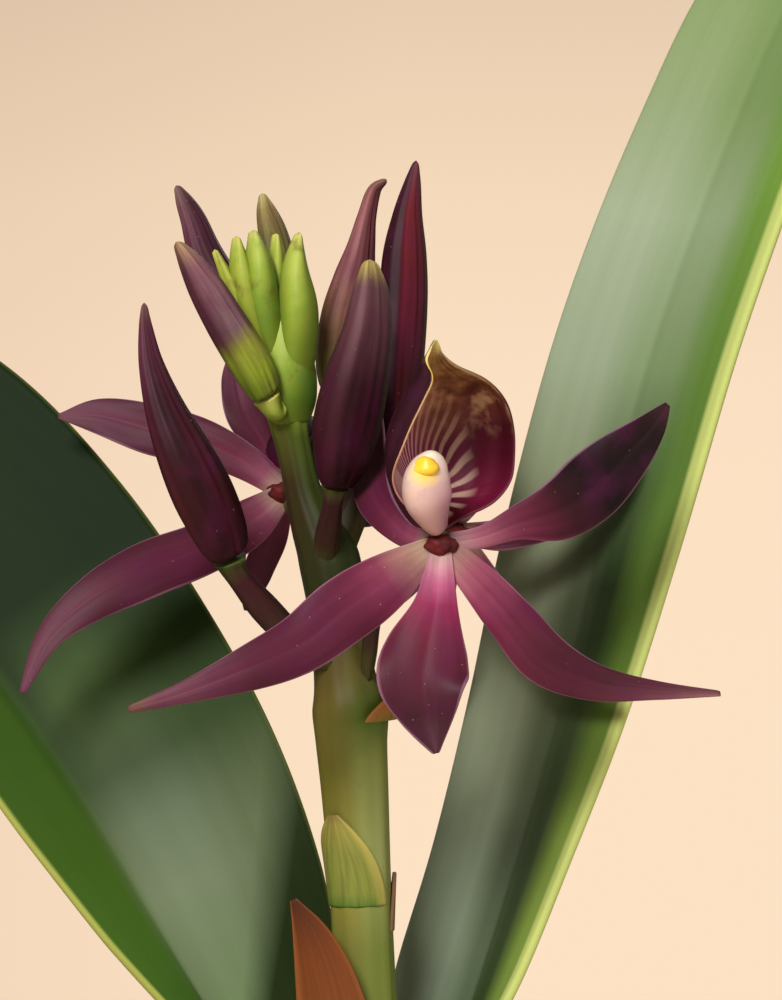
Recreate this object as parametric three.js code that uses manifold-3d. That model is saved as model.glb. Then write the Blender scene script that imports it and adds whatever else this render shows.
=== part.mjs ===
// A potted orchid of the cockleshell kind: a clay pot of bark, three pseudobulbs on one rhizome,
// strap leaves, and a flower stem with three open blooms and the buds still to come.
// Millimetres, +Z up, the origin at the middle of the pot's foot. The front bloom looks along -Y.
import * as THREE from 'three';
import { mergeVertices } from 'three/addons/utils/BufferGeometryUtils.js';
import Module from 'manifold-3d';

// Driving dimensions of the pot and its filling
const POT_HEIGHT = 98;
const RIM_RADIUS = 56;
const RIM_BAND = 20;
const RIM_STEP = 2.8;
const FOOT_RADIUS = 39;
const WALL = 5;
const FLOOR = 6;
const FLOOR_FILLET = 3;
const POT_SIDES = 32;
const FILLING_SIDES = 24;
const DRAIN_HOLES = 5;
const DRAIN_RADIUS = 4.5;
const DRAIN_CIRCLE = 22;
const BARK_TOP = 81;
const BARK_CHIPS = 36;
const CHIP = { length: 21, width: 14, height: 8 };
const GOLDEN_ANGLE = Math.PI * (3 - Math.sqrt(5));

// Driving dimensions of the plant
const GAP = 0.3;
const PETAL_THICKNESS = 0.7;
const LEAF_THICKNESS = 1.2;
const SHEATH_THICKNESS = 0.8;
const RHIZOME_WIDTH = 8;
const ROOT_WIDTH = 3.2;
const APEX_HEIGHT = 164.4;
const FRONT_HEART = [10.4, -18, 243.1];
const SIDE_HEART = [-7.5, 9, 248.9];
const REAR_HEART = [12.5, 14, 244];

const wasm = await Module();
wasm.setup();

// Small vector sums on plain [x, y, z] lists
const add = (a, b, k = 1) => a.map((v, i) => v + k * b[i]);
const dot = (a, b) => a[0] * b[0] + a[1] * b[1] + a[2] * b[2];
const cross = (a, b) => [
  a[1] * b[2] - a[2] * b[1], a[2] * b[0] - a[0] * b[2], a[0] * b[1] - a[1] * b[0]];
const unit = (a) => a.map((v) => v / Math.hypot(...a));

// A smooth run through the rows of a list, each row a set of numbers, the ends carried straight on
const along = (rows, t) => {
  const last = rows.length - 1;
  if (last === 0) return rows[0];
  const s = Math.min(Math.max(t, 0), 1) * last;
  const i = Math.min(Math.floor(s), last - 1);
  const f = s - i;
  const row = (k) => {
    if (k < 0) return rows[0].map((v, c) => 2 * v - rows[1][c]);
    if (k > last) return rows[last].map((v, c) => 2 * v - rows[last - 1][c]);
    return rows[k];
  };
  const [a, b, c, d] = [row(i - 1), row(i), row(i + 1), row(i + 2)];
  return b.map((v, n) => 0.5 * (2 * v + (c[n] - a[n]) * f
    + (2 * a[n] - 5 * v + 4 * c[n] - d[n]) * f ** 2
    + (3 * v - a[n] - 3 * c[n] + d[n]) * f ** 3));
};

const heading = (rows, t) => {
  const step = 0.01;
  const ahead = along(rows, Math.min(t + step, 1)).slice(0, 3);
  const behind = along(rows, Math.max(t - step, 0)).slice(0, 3);
  return unit(add(ahead, behind, -1));
};

// A repeatable scatter between 0 and 1
const scatter = (seed) => {
  const value = Math.sin(seed * 12.9898) * 43758.5453;
  return value - Math.floor(value);
};

// A closed three.js geometry as a solid that can be joined and cut
const solidOf = (geometry) => {
  geometry.deleteAttribute('normal');
  geometry.deleteAttribute('uv');
  const merged = mergeVertices(geometry, 1e-4);
  return new wasm.Manifold(new wasm.Mesh({
    numProp: 3,
    vertProperties: new Float32Array(merged.attributes.position.array),
    triVerts: new Uint32Array(merged.index.array),
  }));
};

const fuse = (solids) => solids.reduce((whole, next) => whole.add(next));

// The neighbours are taken out of a piece, and a scrap that this leaves loose is dropped
const clearOf = (solid, neighbours) => {
  const cut = neighbours.reduce((rest, other) => rest.subtract(other), solid);
  return cut.decompose().sort((a, b) => b.volume() - a.volume())[0];
};

// A point on the skin of a stem, bud or bulb. Its spine has rows [x, y, z, width].
const skin = ({ spine, ribs = 0, ribDepth = 0, flat = 1, level = false }) => (t, angle, off = 0) => {
  const [x, y, z, width] = along(spine, t);
  const forward = heading(spine, t);
  const side = unit(cross(level ? [0, 0, 1] : [0, 1, 0], forward));
  const depth = cross(side, forward);
  const radius = (width / 2) * (1 + ribDepth * Math.cos(ribs * angle));
  const across = add([x, y, z], side, (radius + off) * Math.cos(angle));
  return add(across, depth, (radius * flat + off) * Math.sin(angle));
};

// A stem, bud, bulb or root: a cylinder bent along its spine, its ends closed
const rounded = (shape, { around = 8, rows = 8 } = {}, grow = 0) => {
  const geometry = new THREE.CylinderGeometry(1, 1, 1, around, rows);
  const place = geometry.attributes.position;
  const surface = skin(shape);
  for (let i = 0; i < place.count; i += 1) {
    const t = place.getY(i) + 0.5;
    const onAxis = Math.hypot(place.getX(i), place.getZ(i)) < 0.5;
    const angle = Math.atan2(place.getZ(i), place.getX(i));
    let point = onAxis ? along(shape.spine, t).slice(0, 3) : surface(t, angle, grow);
    if (t < 0.001) point = add(point, heading(shape.spine, 0), -grow);
    if (t > 0.999) point = add(point, heading(shape.spine, 1), grow);
    place.setXYZ(i, ...point);
  }
  return solidOf(geometry);
};

// A thin closed sheet over pointAt(t, u), u from -1 to 1, both faces split along the same diagonals
const sheet = (pointAt, { rows, across, thick }) => {
  const grid = [];
  for (let i = 0; i <= rows; i += 1) {
    grid.push([]);
    for (let j = 0; j <= across; j += 1) grid[i].push(pointAt(i / rows, (2 * j) / across - 1));
  }
  const place = [];
  for (const side of [0.5, -0.5]) {
    for (let i = 0; i <= rows; i += 1) {
      for (let j = 0; j <= across; j += 1) {
        const up = add(grid[Math.min(i + 1, rows)][j], grid[Math.max(i - 1, 0)][j], -1);
        const right = add(grid[i][Math.min(j + 1, across)], grid[i][Math.max(j - 1, 0)], -1);
        place.push(...add(grid[i][j], unit(cross(right, up)), side * thick));
      }
    }
  }
  const id = (back, i, j) => (back * (rows + 1) + i) * (across + 1) + j;
  const index = [];
  const quad = (a, b, c, d) => index.push(a, b, c, a, c, d);
  for (let i = 0; i < rows; i += 1) {
    for (let j = 0; j < across; j += 1) {
      quad(id(0, i, j), id(0, i, j + 1), id(0, i + 1, j + 1), id(0, i + 1, j));
      const [a, b, c, d] = [id(1, i, j), id(1, i, j + 1), id(1, i + 1, j + 1), id(1, i + 1, j)];
      index.push(a, c, b, a, d, c);
    }
    quad(id(0, i, 0), id(0, i + 1, 0), id(1, i + 1, 0), id(1, i, 0));
    quad(id(0, i + 1, across), id(0, i, across), id(1, i, across), id(1, i + 1, across));
  }
  for (let j = 0; j < across; j += 1) {
    quad(id(0, 0, j + 1), id(0, 0, j), id(1, 0, j), id(1, 0, j + 1));
    quad(id(0, rows, j), id(0, rows, j + 1), id(1, rows, j + 1), id(1, rows, j));
  }
  const geometry = new THREE.BufferGeometry();
  geometry.setAttribute('position', new THREE.Float32BufferAttribute(place, 3));
  geometry.setIndex(index);
  return solidOf(geometry);
};

// A leaf or petal: spine rows [x, y, z, width], face rows give the way it looks from base to tip,
// form rows [cup, keel] lift its edges towards that side as a share of its width
const blade = ({ spine, face, form = [[0, 0]] }) => (t, u) => {
  const [x, y, z, width] = along(spine, t);
  const forward = heading(spine, t);
  const look = along(face, t);
  const normal = unit(add(look, forward, -dot(look, forward)));
  const right = cross(forward, normal);
  const [cup, keel] = along(form, t);
  const edge = add([x, y, z], right, (u * width) / 2);
  return add(edge, normal, width * (cup * u ** 2 + keel * Math.abs(u)));
};

const group = new THREE.Group();
const colours = {
  clay: ['#b5653f', 0.85], bark: ['#6b432b', 0.95], root: ['#c9c1a4', 0.8], bulb: ['#6f8a3c', 0.5],
  papery: ['#b09a6c', 0.85], leaf: ['#3f6b33', 0.45], stem: ['#6d7f35', 0.5], young: ['#9cc23a', 0.5],
  petal: ['#7a1f45', 0.45], lip: ['#5a1730', 0.45], column: ['#ecd2cf', 0.45], cap: ['#f3c52c', 0.5],
  bud: ['#4b1c2e', 0.45], husk: ['#8a5430', 0.8],
};
const keep = (name, solid, look) => {
  const mesh = solid.getMesh();
  const geometry = new THREE.BufferGeometry();
  geometry.setAttribute('position', new THREE.BufferAttribute(mesh.vertProperties, 3));
  geometry.setIndex(new THREE.BufferAttribute(mesh.triVerts, 1));
  geometry.computeVertexNormals();
  const [color, roughness] = colours[look];
  const piece = new THREE.Mesh(geometry, new THREE.MeshStandardMaterial({ color, roughness }));
  piece.name = name;
  group.add(piece);
};

// The clay pot, thrown round, with a rim band and a ring of drain holes in its floor
const turned = (profile, sides) => {
  const outline = profile.map(([r, z]) => new THREE.Vector2(r, z));
  return solidOf(new THREE.LatheGeometry(outline, sides).rotateX(Math.PI / 2));
};
const innerRadius = (z) => {
  const low = FOOT_RADIUS - WALL;
  const high = RIM_RADIUS - WALL;
  return low + ((high - low) * (z - FLOOR)) / (POT_HEIGHT - FLOOR);
};
const bandFoot = POT_HEIGHT - RIM_BAND;
const pot = turned([
  [0, 0], [FOOT_RADIUS - 1, 0], [FOOT_RADIUS, 1.2],
  [RIM_RADIUS - RIM_STEP - 1.2, bandFoot - 1], [RIM_RADIUS - 1.6, bandFoot],
  [RIM_RADIUS - 0.8, bandFoot + 1.4], [RIM_RADIUS, POT_HEIGHT - 3], [RIM_RADIUS - 0.9, POT_HEIGHT - 0.7],
  [RIM_RADIUS - 2.4, POT_HEIGHT], [innerRadius(POT_HEIGHT) + 1, POT_HEIGHT - 0.4],
  [innerRadius(POT_HEIGHT - 3), POT_HEIGHT - 3], [innerRadius(FLOOR + FLOOR_FILLET), FLOOR + FLOOR_FILLET],
  [innerRadius(FLOOR) - FLOOR_FILLET, FLOOR], [0, FLOOR],
], POT_SIDES);
const drains = [];
for (let i = 0; i < DRAIN_HOLES; i += 1) {
  const angle = ((i + 0.5) / DRAIN_HOLES) * 2 * Math.PI;
  const drill = new THREE.CylinderGeometry(DRAIN_RADIUS, DRAIN_RADIUS, 3 * FLOOR, 12).rotateX(Math.PI / 2);
  drill.translate(DRAIN_CIRCLE * Math.cos(angle), DRAIN_CIRCLE * Math.sin(angle), 0);
  drains.push(solidOf(drill));
}
keep('pot', clearOf(pot, drains), 'clay');

// Three pseudobulbs, flattened and ribbed: the youngest carries the flowers, the oldest is bare
const bulbs = {
  lead: {
    spine: [[12, 2, 87.9, 11], [12, 2, 94, 22], [10.5, 2, 109, 31], [8, 1.8, 128, 29],
      [5, 1.4, 146, 22], [3.4, 1, 158, 17.5], [3, 1, APEX_HEIGHT, 16.5]],
    ribs: 7, ribDepth: 0.04, flat: 0.74,
  },
  middle: {
    spine: [[-20, 5, 87.9, 10], [-20.5, 5, 93, 20], [-22, 5, 107, 28], [-24, 4.5, 124, 24],
      [-25.5, 4, 138, 15], [-26, 4, 147, 10]],
    ribs: 7, ribDepth: 0.055, flat: 0.7,
  },
  old: {
    spine: [[-27, 27, 87.9, 9], [-28, 28, 92, 17], [-29.5, 30, 103, 24], [-31, 32, 117, 19],
      [-32, 34, 129, 10], [-32.5, 35, 134, 5]],
    ribs: 7, ribDepth: 0.08, flat: 0.68,
  },
};
const bulbMesh = { around: 14, rows: 9 };
for (const [name, bulb] of Object.entries(bulbs)) {
  keep(`pseudobulb_${name}`, rounded(bulb, bulbMesh), 'bulb');
}

// Dry papery sheaths stand off the foot of each bulb, wrapping it and running up to a point
const sheath = (on, { from, to, facing, span, off }) => (t, u) => {
  const surface = skin({ ...on, ribDepth: 0 });
  const taper = span * (1 - 0.92 * t ** 1.6);
  return surface(from + (to - from) * t, facing + u * taper, off + 1.5 * t);
};
const bulbSheaths = {
  lead_front: ['lead', { from: 0.1, to: 0.62, facing: 1.2, span: 1.25, off: 1.1 }],
  lead_back: ['lead', { from: 0.09, to: 0.5, facing: -1.9, span: 1.25, off: 1.1 }],
  middle_front: ['middle', { from: 0.12, to: 0.6, facing: 1.7, span: 1.3, off: 1.2 }],
  old_front: ['old', { from: 0.12, to: 0.7, facing: 1.5, span: 1.2, off: 1.3 }],
};
for (const [name, [bulb, wrap]] of Object.entries(bulbSheaths)) {
  const paper = sheet(sheath(bulbs[bulb], wrap), { rows: 6, across: 5, thick: SHEATH_THICKNESS });
  keep(`sheath_${name}`, paper, 'papery');
}

// The rhizome creeps over the bark under the bulbs and ends in a new shoot. Its roots run out
// over the bark and dive into it.
const rhizome = (grow) => rounded({
  spine: [[-29, 33, 83, 6], [-27, 27, 83.5, RHIZOME_WIDTH], [-20, 5, 83.5, RHIZOME_WIDTH],
    [-4, 1, 83.5, RHIZOME_WIDTH], [12, 2, 83.5, RHIZOME_WIDTH], [25, -3, 84.5, RHIZOME_WIDTH],
    [31, -5, 88, 7], [33, -5.5, 94, 4], [33.5, -5.5, 97, 1]],
  level: true,
}, { around: 7, rows: 12 }, grow);
const rootRuns = [
  [[10, 0, 83], [9, -12, 88.5], [4, -26, 87.5], [-4, -35, 80], [-8, -39, 72]],
  [[20, 0, 83], [26, -14, 89], [27, -26, 87], [24, -32, 79], [21, -36, 71]],
  [[14, 4, 83], [20, 16, 88.5], [27, 23, 87.5], [30, 26, 79], [30, 30, 71]],
  [[-2, 2, 83], [0, 14, 88.5], [-2, 28, 87.5], [-5, 35, 79], [-7, 39, 71]],
  [[-14, 2, 83], [-18, -10, 88.5], [-28, -20, 87.5], [-32, -24, 79], [-32, -28, 71]],
  [[-20, 8, 83], [-30, 8, 88.5], [-37, 4, 86], [-40, 0, 78], [-41, -4, 71]],
  [[24, -2, 84], [34, 4, 88.5], [39, 10, 86], [40, 14, 78], [38, 18, 71]],
];
const rootWork = (grow) => fuse([rhizome(grow), ...rootRuns.map((run) => rounded({
  spine: run.map((point, i) => [...point, ROOT_WIDTH * (i === 0 ? 1.3 : 1)]), level: true,
}, { around: 5, rows: 6 }, grow))]);
const bulbsGrown = Object.values(bulbs).map((bulb) => rounded(bulb, bulbMesh, GAP));
keep('rhizome_and_roots', clearOf(rootWork(0), bulbsGrown), 'root');

// Bark: a bed with loose chips lying on it at all angles, channelled where the roots run and
// trimmed to the inside of the pot
const inset = 2 * GAP;
const bed = turned([
  [0, FLOOR + inset], [innerRadius(FLOOR) - FLOOR_FILLET - inset, FLOOR + inset],
  [innerRadius(BARK_TOP) - inset, BARK_TOP], [0, BARK_TOP],
], FILLING_SIDES);
const chips = [];
for (let i = 0; i < BARK_CHIPS; i += 1) {
  const size = 0.75 + 0.45 * scatter(i + 1);
  const geometry = new THREE.BoxGeometry(CHIP.length * size, CHIP.width * size, CHIP.height);
  const place = geometry.attributes.position;
  for (let v = 0; v < place.count; v += 1) {
    const corner = i * 8 + (place.getX(v) > 0) * 4 + (place.getY(v) > 0) * 2 + (place.getZ(v) > 0);
    const pinch = (n) => 1 - 0.4 * scatter(corner * 3 + n);
    place.setXYZ(v, place.getX(v) * pinch(1), place.getY(v) * pinch(2), place.getZ(v) * pinch(3));
  }
  geometry.rotateX(0.7 * (scatter(i + 101) - 0.5));
  geometry.rotateY(0.7 * (scatter(i + 201) - 0.5));
  geometry.rotateZ(Math.PI * scatter(i + 301));
  const reach = (innerRadius(BARK_TOP) - 7) * Math.sqrt((i + 0.5) / BARK_CHIPS);
  const turn = i * GOLDEN_ANGLE;
  geometry.translate(reach * Math.cos(turn), reach * Math.sin(turn), BARK_TOP + 2 * scatter(i + 401));
  chips.push(solidOf(geometry));
}
const cavity = turned([
  [0, FLOOR], [innerRadius(FLOOR) - FLOOR_FILLET - inset, FLOOR],
  [innerRadius(POT_HEIGHT) - 2 * inset, POT_HEIGHT], [0, POT_HEIGHT],
], FILLING_SIDES);
const barkWork = fuse([bed, ...chips]).intersect(cavity);
keep('potting_bark', clearOf(barkWork, [rootWork(GAP), ...bulbsGrown]), 'bark');

// The flower stem from the lead bulb up through the open blooms, and the stalks that leave it.
// A stalk ends just short of the bud or the heart that it carries.
const stemShape = {
  spine: [[3, 0, APEX_HEIGHT + 1, 8.4], [2.6, 0, 177, 7.9], [2, 0, 191, 7.2], [1.5, 0, 203.5, 7],
    [0.9, 0, 214, 7.6], [0.5, 0, 220, 8.1], [0.3, 0, 224.2, 8.6], [-0.3, 0, 228, 7],
    [-1.1, 0, 234.5, 6.4], [-2, 0, 241, 7], [-3.6, 0, 245, 5.6], [-5, 0, 249, 4.2],
    [-6, 0, 253.5, 3.9], [-7, -0.3, 258.3, 4.6]],
};
const buds = {
  front: [[-1.2, -8, 249.6, 3.6], [-0.8, -9, 252, 5.8], [-0.3, -10, 256, 7.5], [0.8, -11, 261, 7.2],
    [2.1, -11.5, 266.5, 5.6], [2.6, -11, 271, 4.1], [2.6, -10, 274.8, 1.5]],
  tall: [[4.8, 2, 254.5, 3], [5.5, 3, 258.5, 4.4], [5.8, 4, 264, 5.5], [6.2, 5, 271, 5.6],
    [6.4, 5.4, 276.5, 5], [6.8, 5.4, 281, 3.4], [7.4, 5, 284.5, 2], [7.9, 4.5, 287.2, 0.6]],
  hooked: [[-1.5, 5, 260.5, 3.4], [-1.4, 6, 264, 5], [-0.6, 7, 269, 5.6], [0.5, 8, 273.5, 4.9],
    [1.4, 8.5, 277.5, 3.3], [2.1, 8.5, 281, 2.2], [3, 8, 284, 1.6], [4.5, 7, 285.2, 0.6]],
  left: [[-13, -9, 241.5, 4.4], [-14.3, -10, 244.5, 6.2], [-16.1, -11, 248.5, 6.9],
    [-18.1, -12, 253, 6.2], [-20.2, -12, 258, 4.5], [-21.7, -11.5, 263, 2.8],
    [-22.3, -11, 267, 1.6], [-22.5, -10, 270, 0.6]],
  upper_left: [[-9, -4.8, 259.8, 3.7], [-10.4, -6, 262.4, 4.7], [-12.2, -7, 265.4, 4.8],
    [-14, -8, 268.4, 4.5], [-15.8, -8.8, 271.6, 4], [-17.5, -9.3, 274.5, 2.7], [-19, -9.4, 276.8, 0.9]],
  rear_left: [[-11.5, 5, 267, 2.8], [-13, 6, 270.5, 3.9], [-15.3, 7, 274, 4.2], [-16.9, 8, 277, 3.9],
    [-18.1, 8.5, 280.5, 3], [-19.1, 8.5, 282.7, 2.1], [-20, 8, 284.6, 0.7]],
  rear: [[-7, 5, 271, 2.8], [-7.6, 6, 274, 3.7], [-8.4, 6.5, 277, 3.7], [-9, 7, 279.5, 3.2],
    [-9.6, 7, 281.7, 2.2], [-10, 7, 283.6, 0.7]],
};
const footOf = (bud) => [1.8, GAP].map((down) => {
  const point = add(bud[0].slice(0, 3), heading(bud, 0), -down);
  return [...point, bud[0][3] * 0.88];
});
const stalks = {
  front_bloom: [[2, -1, 225.5, 2], [2.5, -3.2, 230.5, 1.7], [3.2, -6.5, 235.2, 1.8],
    [5.6, -11, 239.6, 2], [9.7, -15.4, 242.3, 2.4]],
  side_bloom: [[-2, 1, 239.5, 2.2], [-4.6, 4, 243.5, 2.1], [-5.8, 6.2, 246.4, 2.2], [-6.5, 7.4, 247.9, 2.2]],
  rear_bloom: [[-1, 1, 235, 2.2], [3.5, 5, 238, 2.1], [8.5, 9.5, 241, 2.2], [12, 12.8, 243.4, 2.8]],
  front: [[-2.7, -0.8, 240.5, 3], [-2.2, -3.6, 243.6, 3], ...footOf(buds.front)],
  tall: [[-1.6, 0.4, 240, 3], [0.6, 1, 246, 3], [2.9, 1.5, 250.5, 2.6], ...footOf(buds.tall)],
  hooked: [[-5, 0.6, 248.6, 2.2], [-3.3, 3.4, 254.4, 2.4], ...footOf(buds.hooked)],
  left: [[-0.8, -1, 228.6, 3], [-5.5, -5, 232, 3], [-9, -7, 235.6, 3.4], ...footOf(buds.left)],
};
const stemMesh = { around: 10, rows: 20 };
const hubSize = [1.9, 1.5, 1.15];
const hub = (heart, grow = 0) => {
  const geometry = new THREE.SphereGeometry(1, 10, 6);
  geometry.scale(...hubSize.map((radius) => radius + grow));
  return solidOf(geometry.translate(...heart));
};
const hearts = [FRONT_HEART, SIDE_HEART, REAR_HEART];
const stem = fuse([
  rounded(stemShape, stemMesh),
  ...Object.values(stalks).map((spine) => rounded({ spine }, { around: 6, rows: 6 })),
]);
keep('flower_stem', clearOf(stem, hearts.map((heart) => hub(heart, GAP))), 'stem');

const budMesh = { around: 9, rows: 8 };

// The soft tip of the stem: three more stalks, and buds no bigger than grains with their bracts
const tipShoots = [
  [[-7, -0.4, 258.6, 4.6], [-7.4, -0.8, 262, 5.4], [-7.9, -1.4, 266, 5.2], [-8.4, -1.8, 271, 2.4]],
  [[-7, -0.5, 256.8, 3.6], [-7.9, -2.6, 257.8, 3.6], ...footOf(buds.upper_left)],
  [[-7.4, 0.4, 260, 2.4], [-9.4, 3.6, 263.5, 2.2], ...footOf(buds.rear_left)],
  [[-7.2, 0.4, 261, 2.4], [-6.8, 3.8, 266, 2.2], ...footOf(buds.rear)],
  [[-8.6, -1.6, 262.6, 2.4], [-11.3, -2.8, 268.2, 2.2], [-13, -3.2, 272.2, 1.7], [-15, -3.2, 276.4, 0.5]],
  [[-8.4, -1.6, 262.8, 3.2], [-10.7, -3, 269, 3.4], [-11.9, -3.4, 274, 2.7], [-12.5, -3.2, 277.9, 0.7]],
  [[-7.9, -1.6, 263.4, 3.4], [-9.3, -3.1, 269.6, 3.7], [-9.9, -3.3, 274.6, 3.2], [-10.6, -3, 278.6, 0.8]],
  [[-7.4, -0.6, 264, 2.8], [-7.7, -0.8, 270, 2.6], [-7.9, -0.8, 275, 2], [-8.1, -0.6, 278.4, 0.6]],
  [[-6.4, -0.8, 260.4, 3.6], [-5.7, -2.3, 265, 4.3], [-5.5, -3.1, 269.6, 4.4],
    [-5.8, -3.2, 274, 3.1], [-5.4, -2.6, 278.4, 0.6]],
];
const tip = fuse(tipShoots.map((spine) => rounded({ spine }, { around: 6, rows: 5 })));
const tipNeighbours = [rounded(stemShape, stemMesh, GAP), rounded({ spine: buds.upper_left }, budMesh, GAP)];
keep('stem_tip', clearOf(tip, tipNeighbours), 'young');
for (const [name, spine] of Object.entries(buds)) {
  keep(`bud_${name}`, rounded({ spine, ribs: 3, ribDepth: 0.07 }, budMesh), 'bud');
}

// Bracts that hug the stem, and the brown spathe that the young stem grew out of
const stemSheaths = {
  low: { from: 0.22, to: 0.295, facing: 2.2, span: 1.6, off: 0.8 },
  dry: { from: 0.2, to: 0.243, facing: -0.1, span: 0.5, off: 0.8 },
  node: { from: 0.435, to: 0.497, facing: 0.35, span: 0.9, off: 0.9 },
};
for (const [name, wrap] of Object.entries(stemSheaths)) {
  keep(`stem_bract_${name}`, sheet(sheath(stemShape, wrap), { rows: 5, across: 4, thick: 0.6 }), 'husk');
}
keep('spathe', sheet(blade({
  spine: [[1.5, -5.4, 168, 5.5], [0.5, -6, 178.5, 7.6], [-1, -6.4, 186, 9], [-2.4, -6.6, 193.5, 7.2],
    [-4, -6.8, 199, 4.4], [-6, -7, 203.2, 0.7]],
  face: [[-0.2, -1, 0]], form: [[-0.2, 0], [-0.16, 0], [-0.12, 0], [-0.1, 0], [0, 0]],
}), { rows: 7, across: 4, thick: SHEATH_THICKNESS }), 'husk');

// Strap leaves: two from the lead bulb, folded round the stem at their foot, and two from the
// middle bulb that arch out low over the rim
const leaves = {
  left: {
    spine: [[-4.6, 2.4, 165, 11], [-6.2, 4, 174, 13], [-9, 6, 181.6, 16.5], [-12.6, 7.5, 189.3, 21],
      [-17.2, 9, 200.4, 27.4], [-23.4, 12, 213, 31.5], [-31.3, 15, 225.8, 33.5], [-41.2, 19, 239.2, 34.4],
      [-52.6, 23, 251.8, 33], [-65.5, 27, 262, 27], [-78.5, 31, 270, 18.5], [-89.5, 34, 274.5, 8],
      [-95, 36, 276, 0.8]],
    face: [[0.9, -0.45, 0], [0.75, -0.65, 0], [0.35, -0.93, 0.1], [0.2, -0.95, 0.2], [0.1, -0.9, 0.35],
      [0, -0.8, 0.5]],
    form: [[0, 0.36], [0, 0.26], [0, 0.12], [0, 0.08], [0, 0.06], [0, 0.04]],
  },
  right: {
    spine: [[10.4, 3.4, 165, 11], [11.2, 6, 174, 13.5], [12.4, 8.5, 182.5, 17.5], [15.1, 10.5, 190, 22],
      [19.8, 13, 204.5, 24], [25, 16, 222, 27.6], [30.3, 19, 243, 31], [36, 22, 263.5, 32.5],
      [41.8, 25, 280, 33], [47.6, 28, 294.5, 32], [54.4, 31, 309.5, 30], [62, 35, 322, 24],
      [70.5, 39, 332, 16], [77, 42.5, 338, 7], [80, 44, 340, 0.8]],
    face: [[-0.9, -0.43, 0], [-0.8, -0.58, 0.1], [-0.74, -0.62, 0.25], [-0.74, -0.6, 0.3],
      [-0.66, -0.62, 0.42], [-0.5, -0.6, 0.6]],
    form: [[0, 0.36], [0, 0.2], [0, 0.08], [0, 0.06], [0, 0.05], [0, 0.03]],
  },
  low_left: {
    spine: [[-28.6, 5.6, 147.8, 6], [-37, 11, 162, 13], [-52, 19, 174, 22], [-74, 29, 174, 26],
      [-94, 37, 158, 23], [-106, 42, 136, 14], [-110, 44, 122, 0.8]],
    face: [[0.7, -0.2, 0.7], [0.3, -0.1, 1], [0, 0, 1], [-0.5, 0.1, 0.9]],
    form: [[0, 0.3], [0, 0.12], [0, 0.08]],
  },
  low_front: {
    spine: [[-24.4, 1.4, 147.8, 6], [-29, -11, 164, 13], [-38, -30, 176, 21], [-48, -54, 176, 24],
      [-56, -76, 160, 21], [-61, -91, 138, 13], [-63, -97, 124, 0.8]],
    face: [[0.2, 0.7, 0.7], [0.1, 0.3, 1], [0, 0, 1], [-0.2, -0.5, 0.9]],
    form: [[0, 0.3], [0, 0.12], [0, 0.08]],
  },
};
for (const [name, leaf] of Object.entries(leaves)) {
  const strap = sheet(blade(leaf), { rows: 14, across: 4, thick: LEAF_THICKNESS });
  keep(`leaf_${name}`, clearOf(strap, bulbsGrown), 'leaf');
}

// The five tepals of each bloom, from its heart
const frontTepals = [
  { // left petal
    spine: [[-0.6, 0.2, -0.2, 2.6], [-6, -2, -4, 6.3], [-10.5, -4, -7, 7.3], [-15, -6, -10.5, 6.5],
      [-20.5, -8, -13, 4.9], [-27, -9, -15.5, 2.5], [-33.5, -9, -17.5, 0.5]],
    face: [[0, -1, 0], [0.1, -1, 0.2], [0.1, -1, 0.1]], form: [[0, 0], [-0.06, 0], [-0.04, 0]],
  },
  { // dorsal sepal, hanging below the heart
    spine: [[0, 0, -0.4, 2.4], [-0.5, -2, -6, 4.6], [-1.5, -4, -11, 9], [-2, -5, -14.5, 10],
      [-1.5, -5, -18, 6.7], [-0.5, -4, -22.5, 0.6]],
    face: [[0, -1, 0]], form: [[0, 0], [-0.05, 0], [-0.04, 0], [0.08, 0], [0.2, 0]],
  },
  { // right petal
    spine: [[0.6, 0.2, -0.3, 2.6], [5, -0.5, -5, 4.6], [8, -1, -8.5, 5.3], [11.5, -1, -12.5, 5.8],
      [17, 0, -15, 4], [23.5, 2, -16, 2.2], [31, 4, -16.5, 0.5]],
    face: [[0, -1, 0], [0, -1, 0], [0.1, -0.9, 0.5]], form: [[0, 0], [-0.05, 0], [-0.03, 0]],
  },
  { // right lateral sepal
    spine: [[0.8, 0.6, 0.2, 2.2], [4.6, 1.2, 0.9, 2.4], [8.6, 2.6, 2.4, 3.8], [13, 4, 3.7, 7],
      [16.6, 5.6, 6, 8], [20.4, 7, 9.7, 6.4], [23.5, 8, 13, 3.6], [25.5, 9, 15.6, 0.5]],
    face: [[0, -1, 0], [0.1, -1, -0.2], [0.1, -1, 0]], form: [[0, 0], [-0.05, 0], [0.04, 0]],
  },
  { // left lateral sepal, passing behind the front bud
    spine: [[-0.8, 0.8, 0.2, 2.2], [-4, 3, 1.2, 2.8], [-7, 8, 4.6, 4.4], [-8, 13.4, 8.6, 5],
      [-8.4, 15.2, 13.4, 4.6], [-8.6, 15.4, 18, 2.8], [-8.8, 15, 21.6, 0.5]],
    face: [[0, -1, 0], [-0.4, -1, 0], [0, -1, 0.2]],
  },
];
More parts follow.
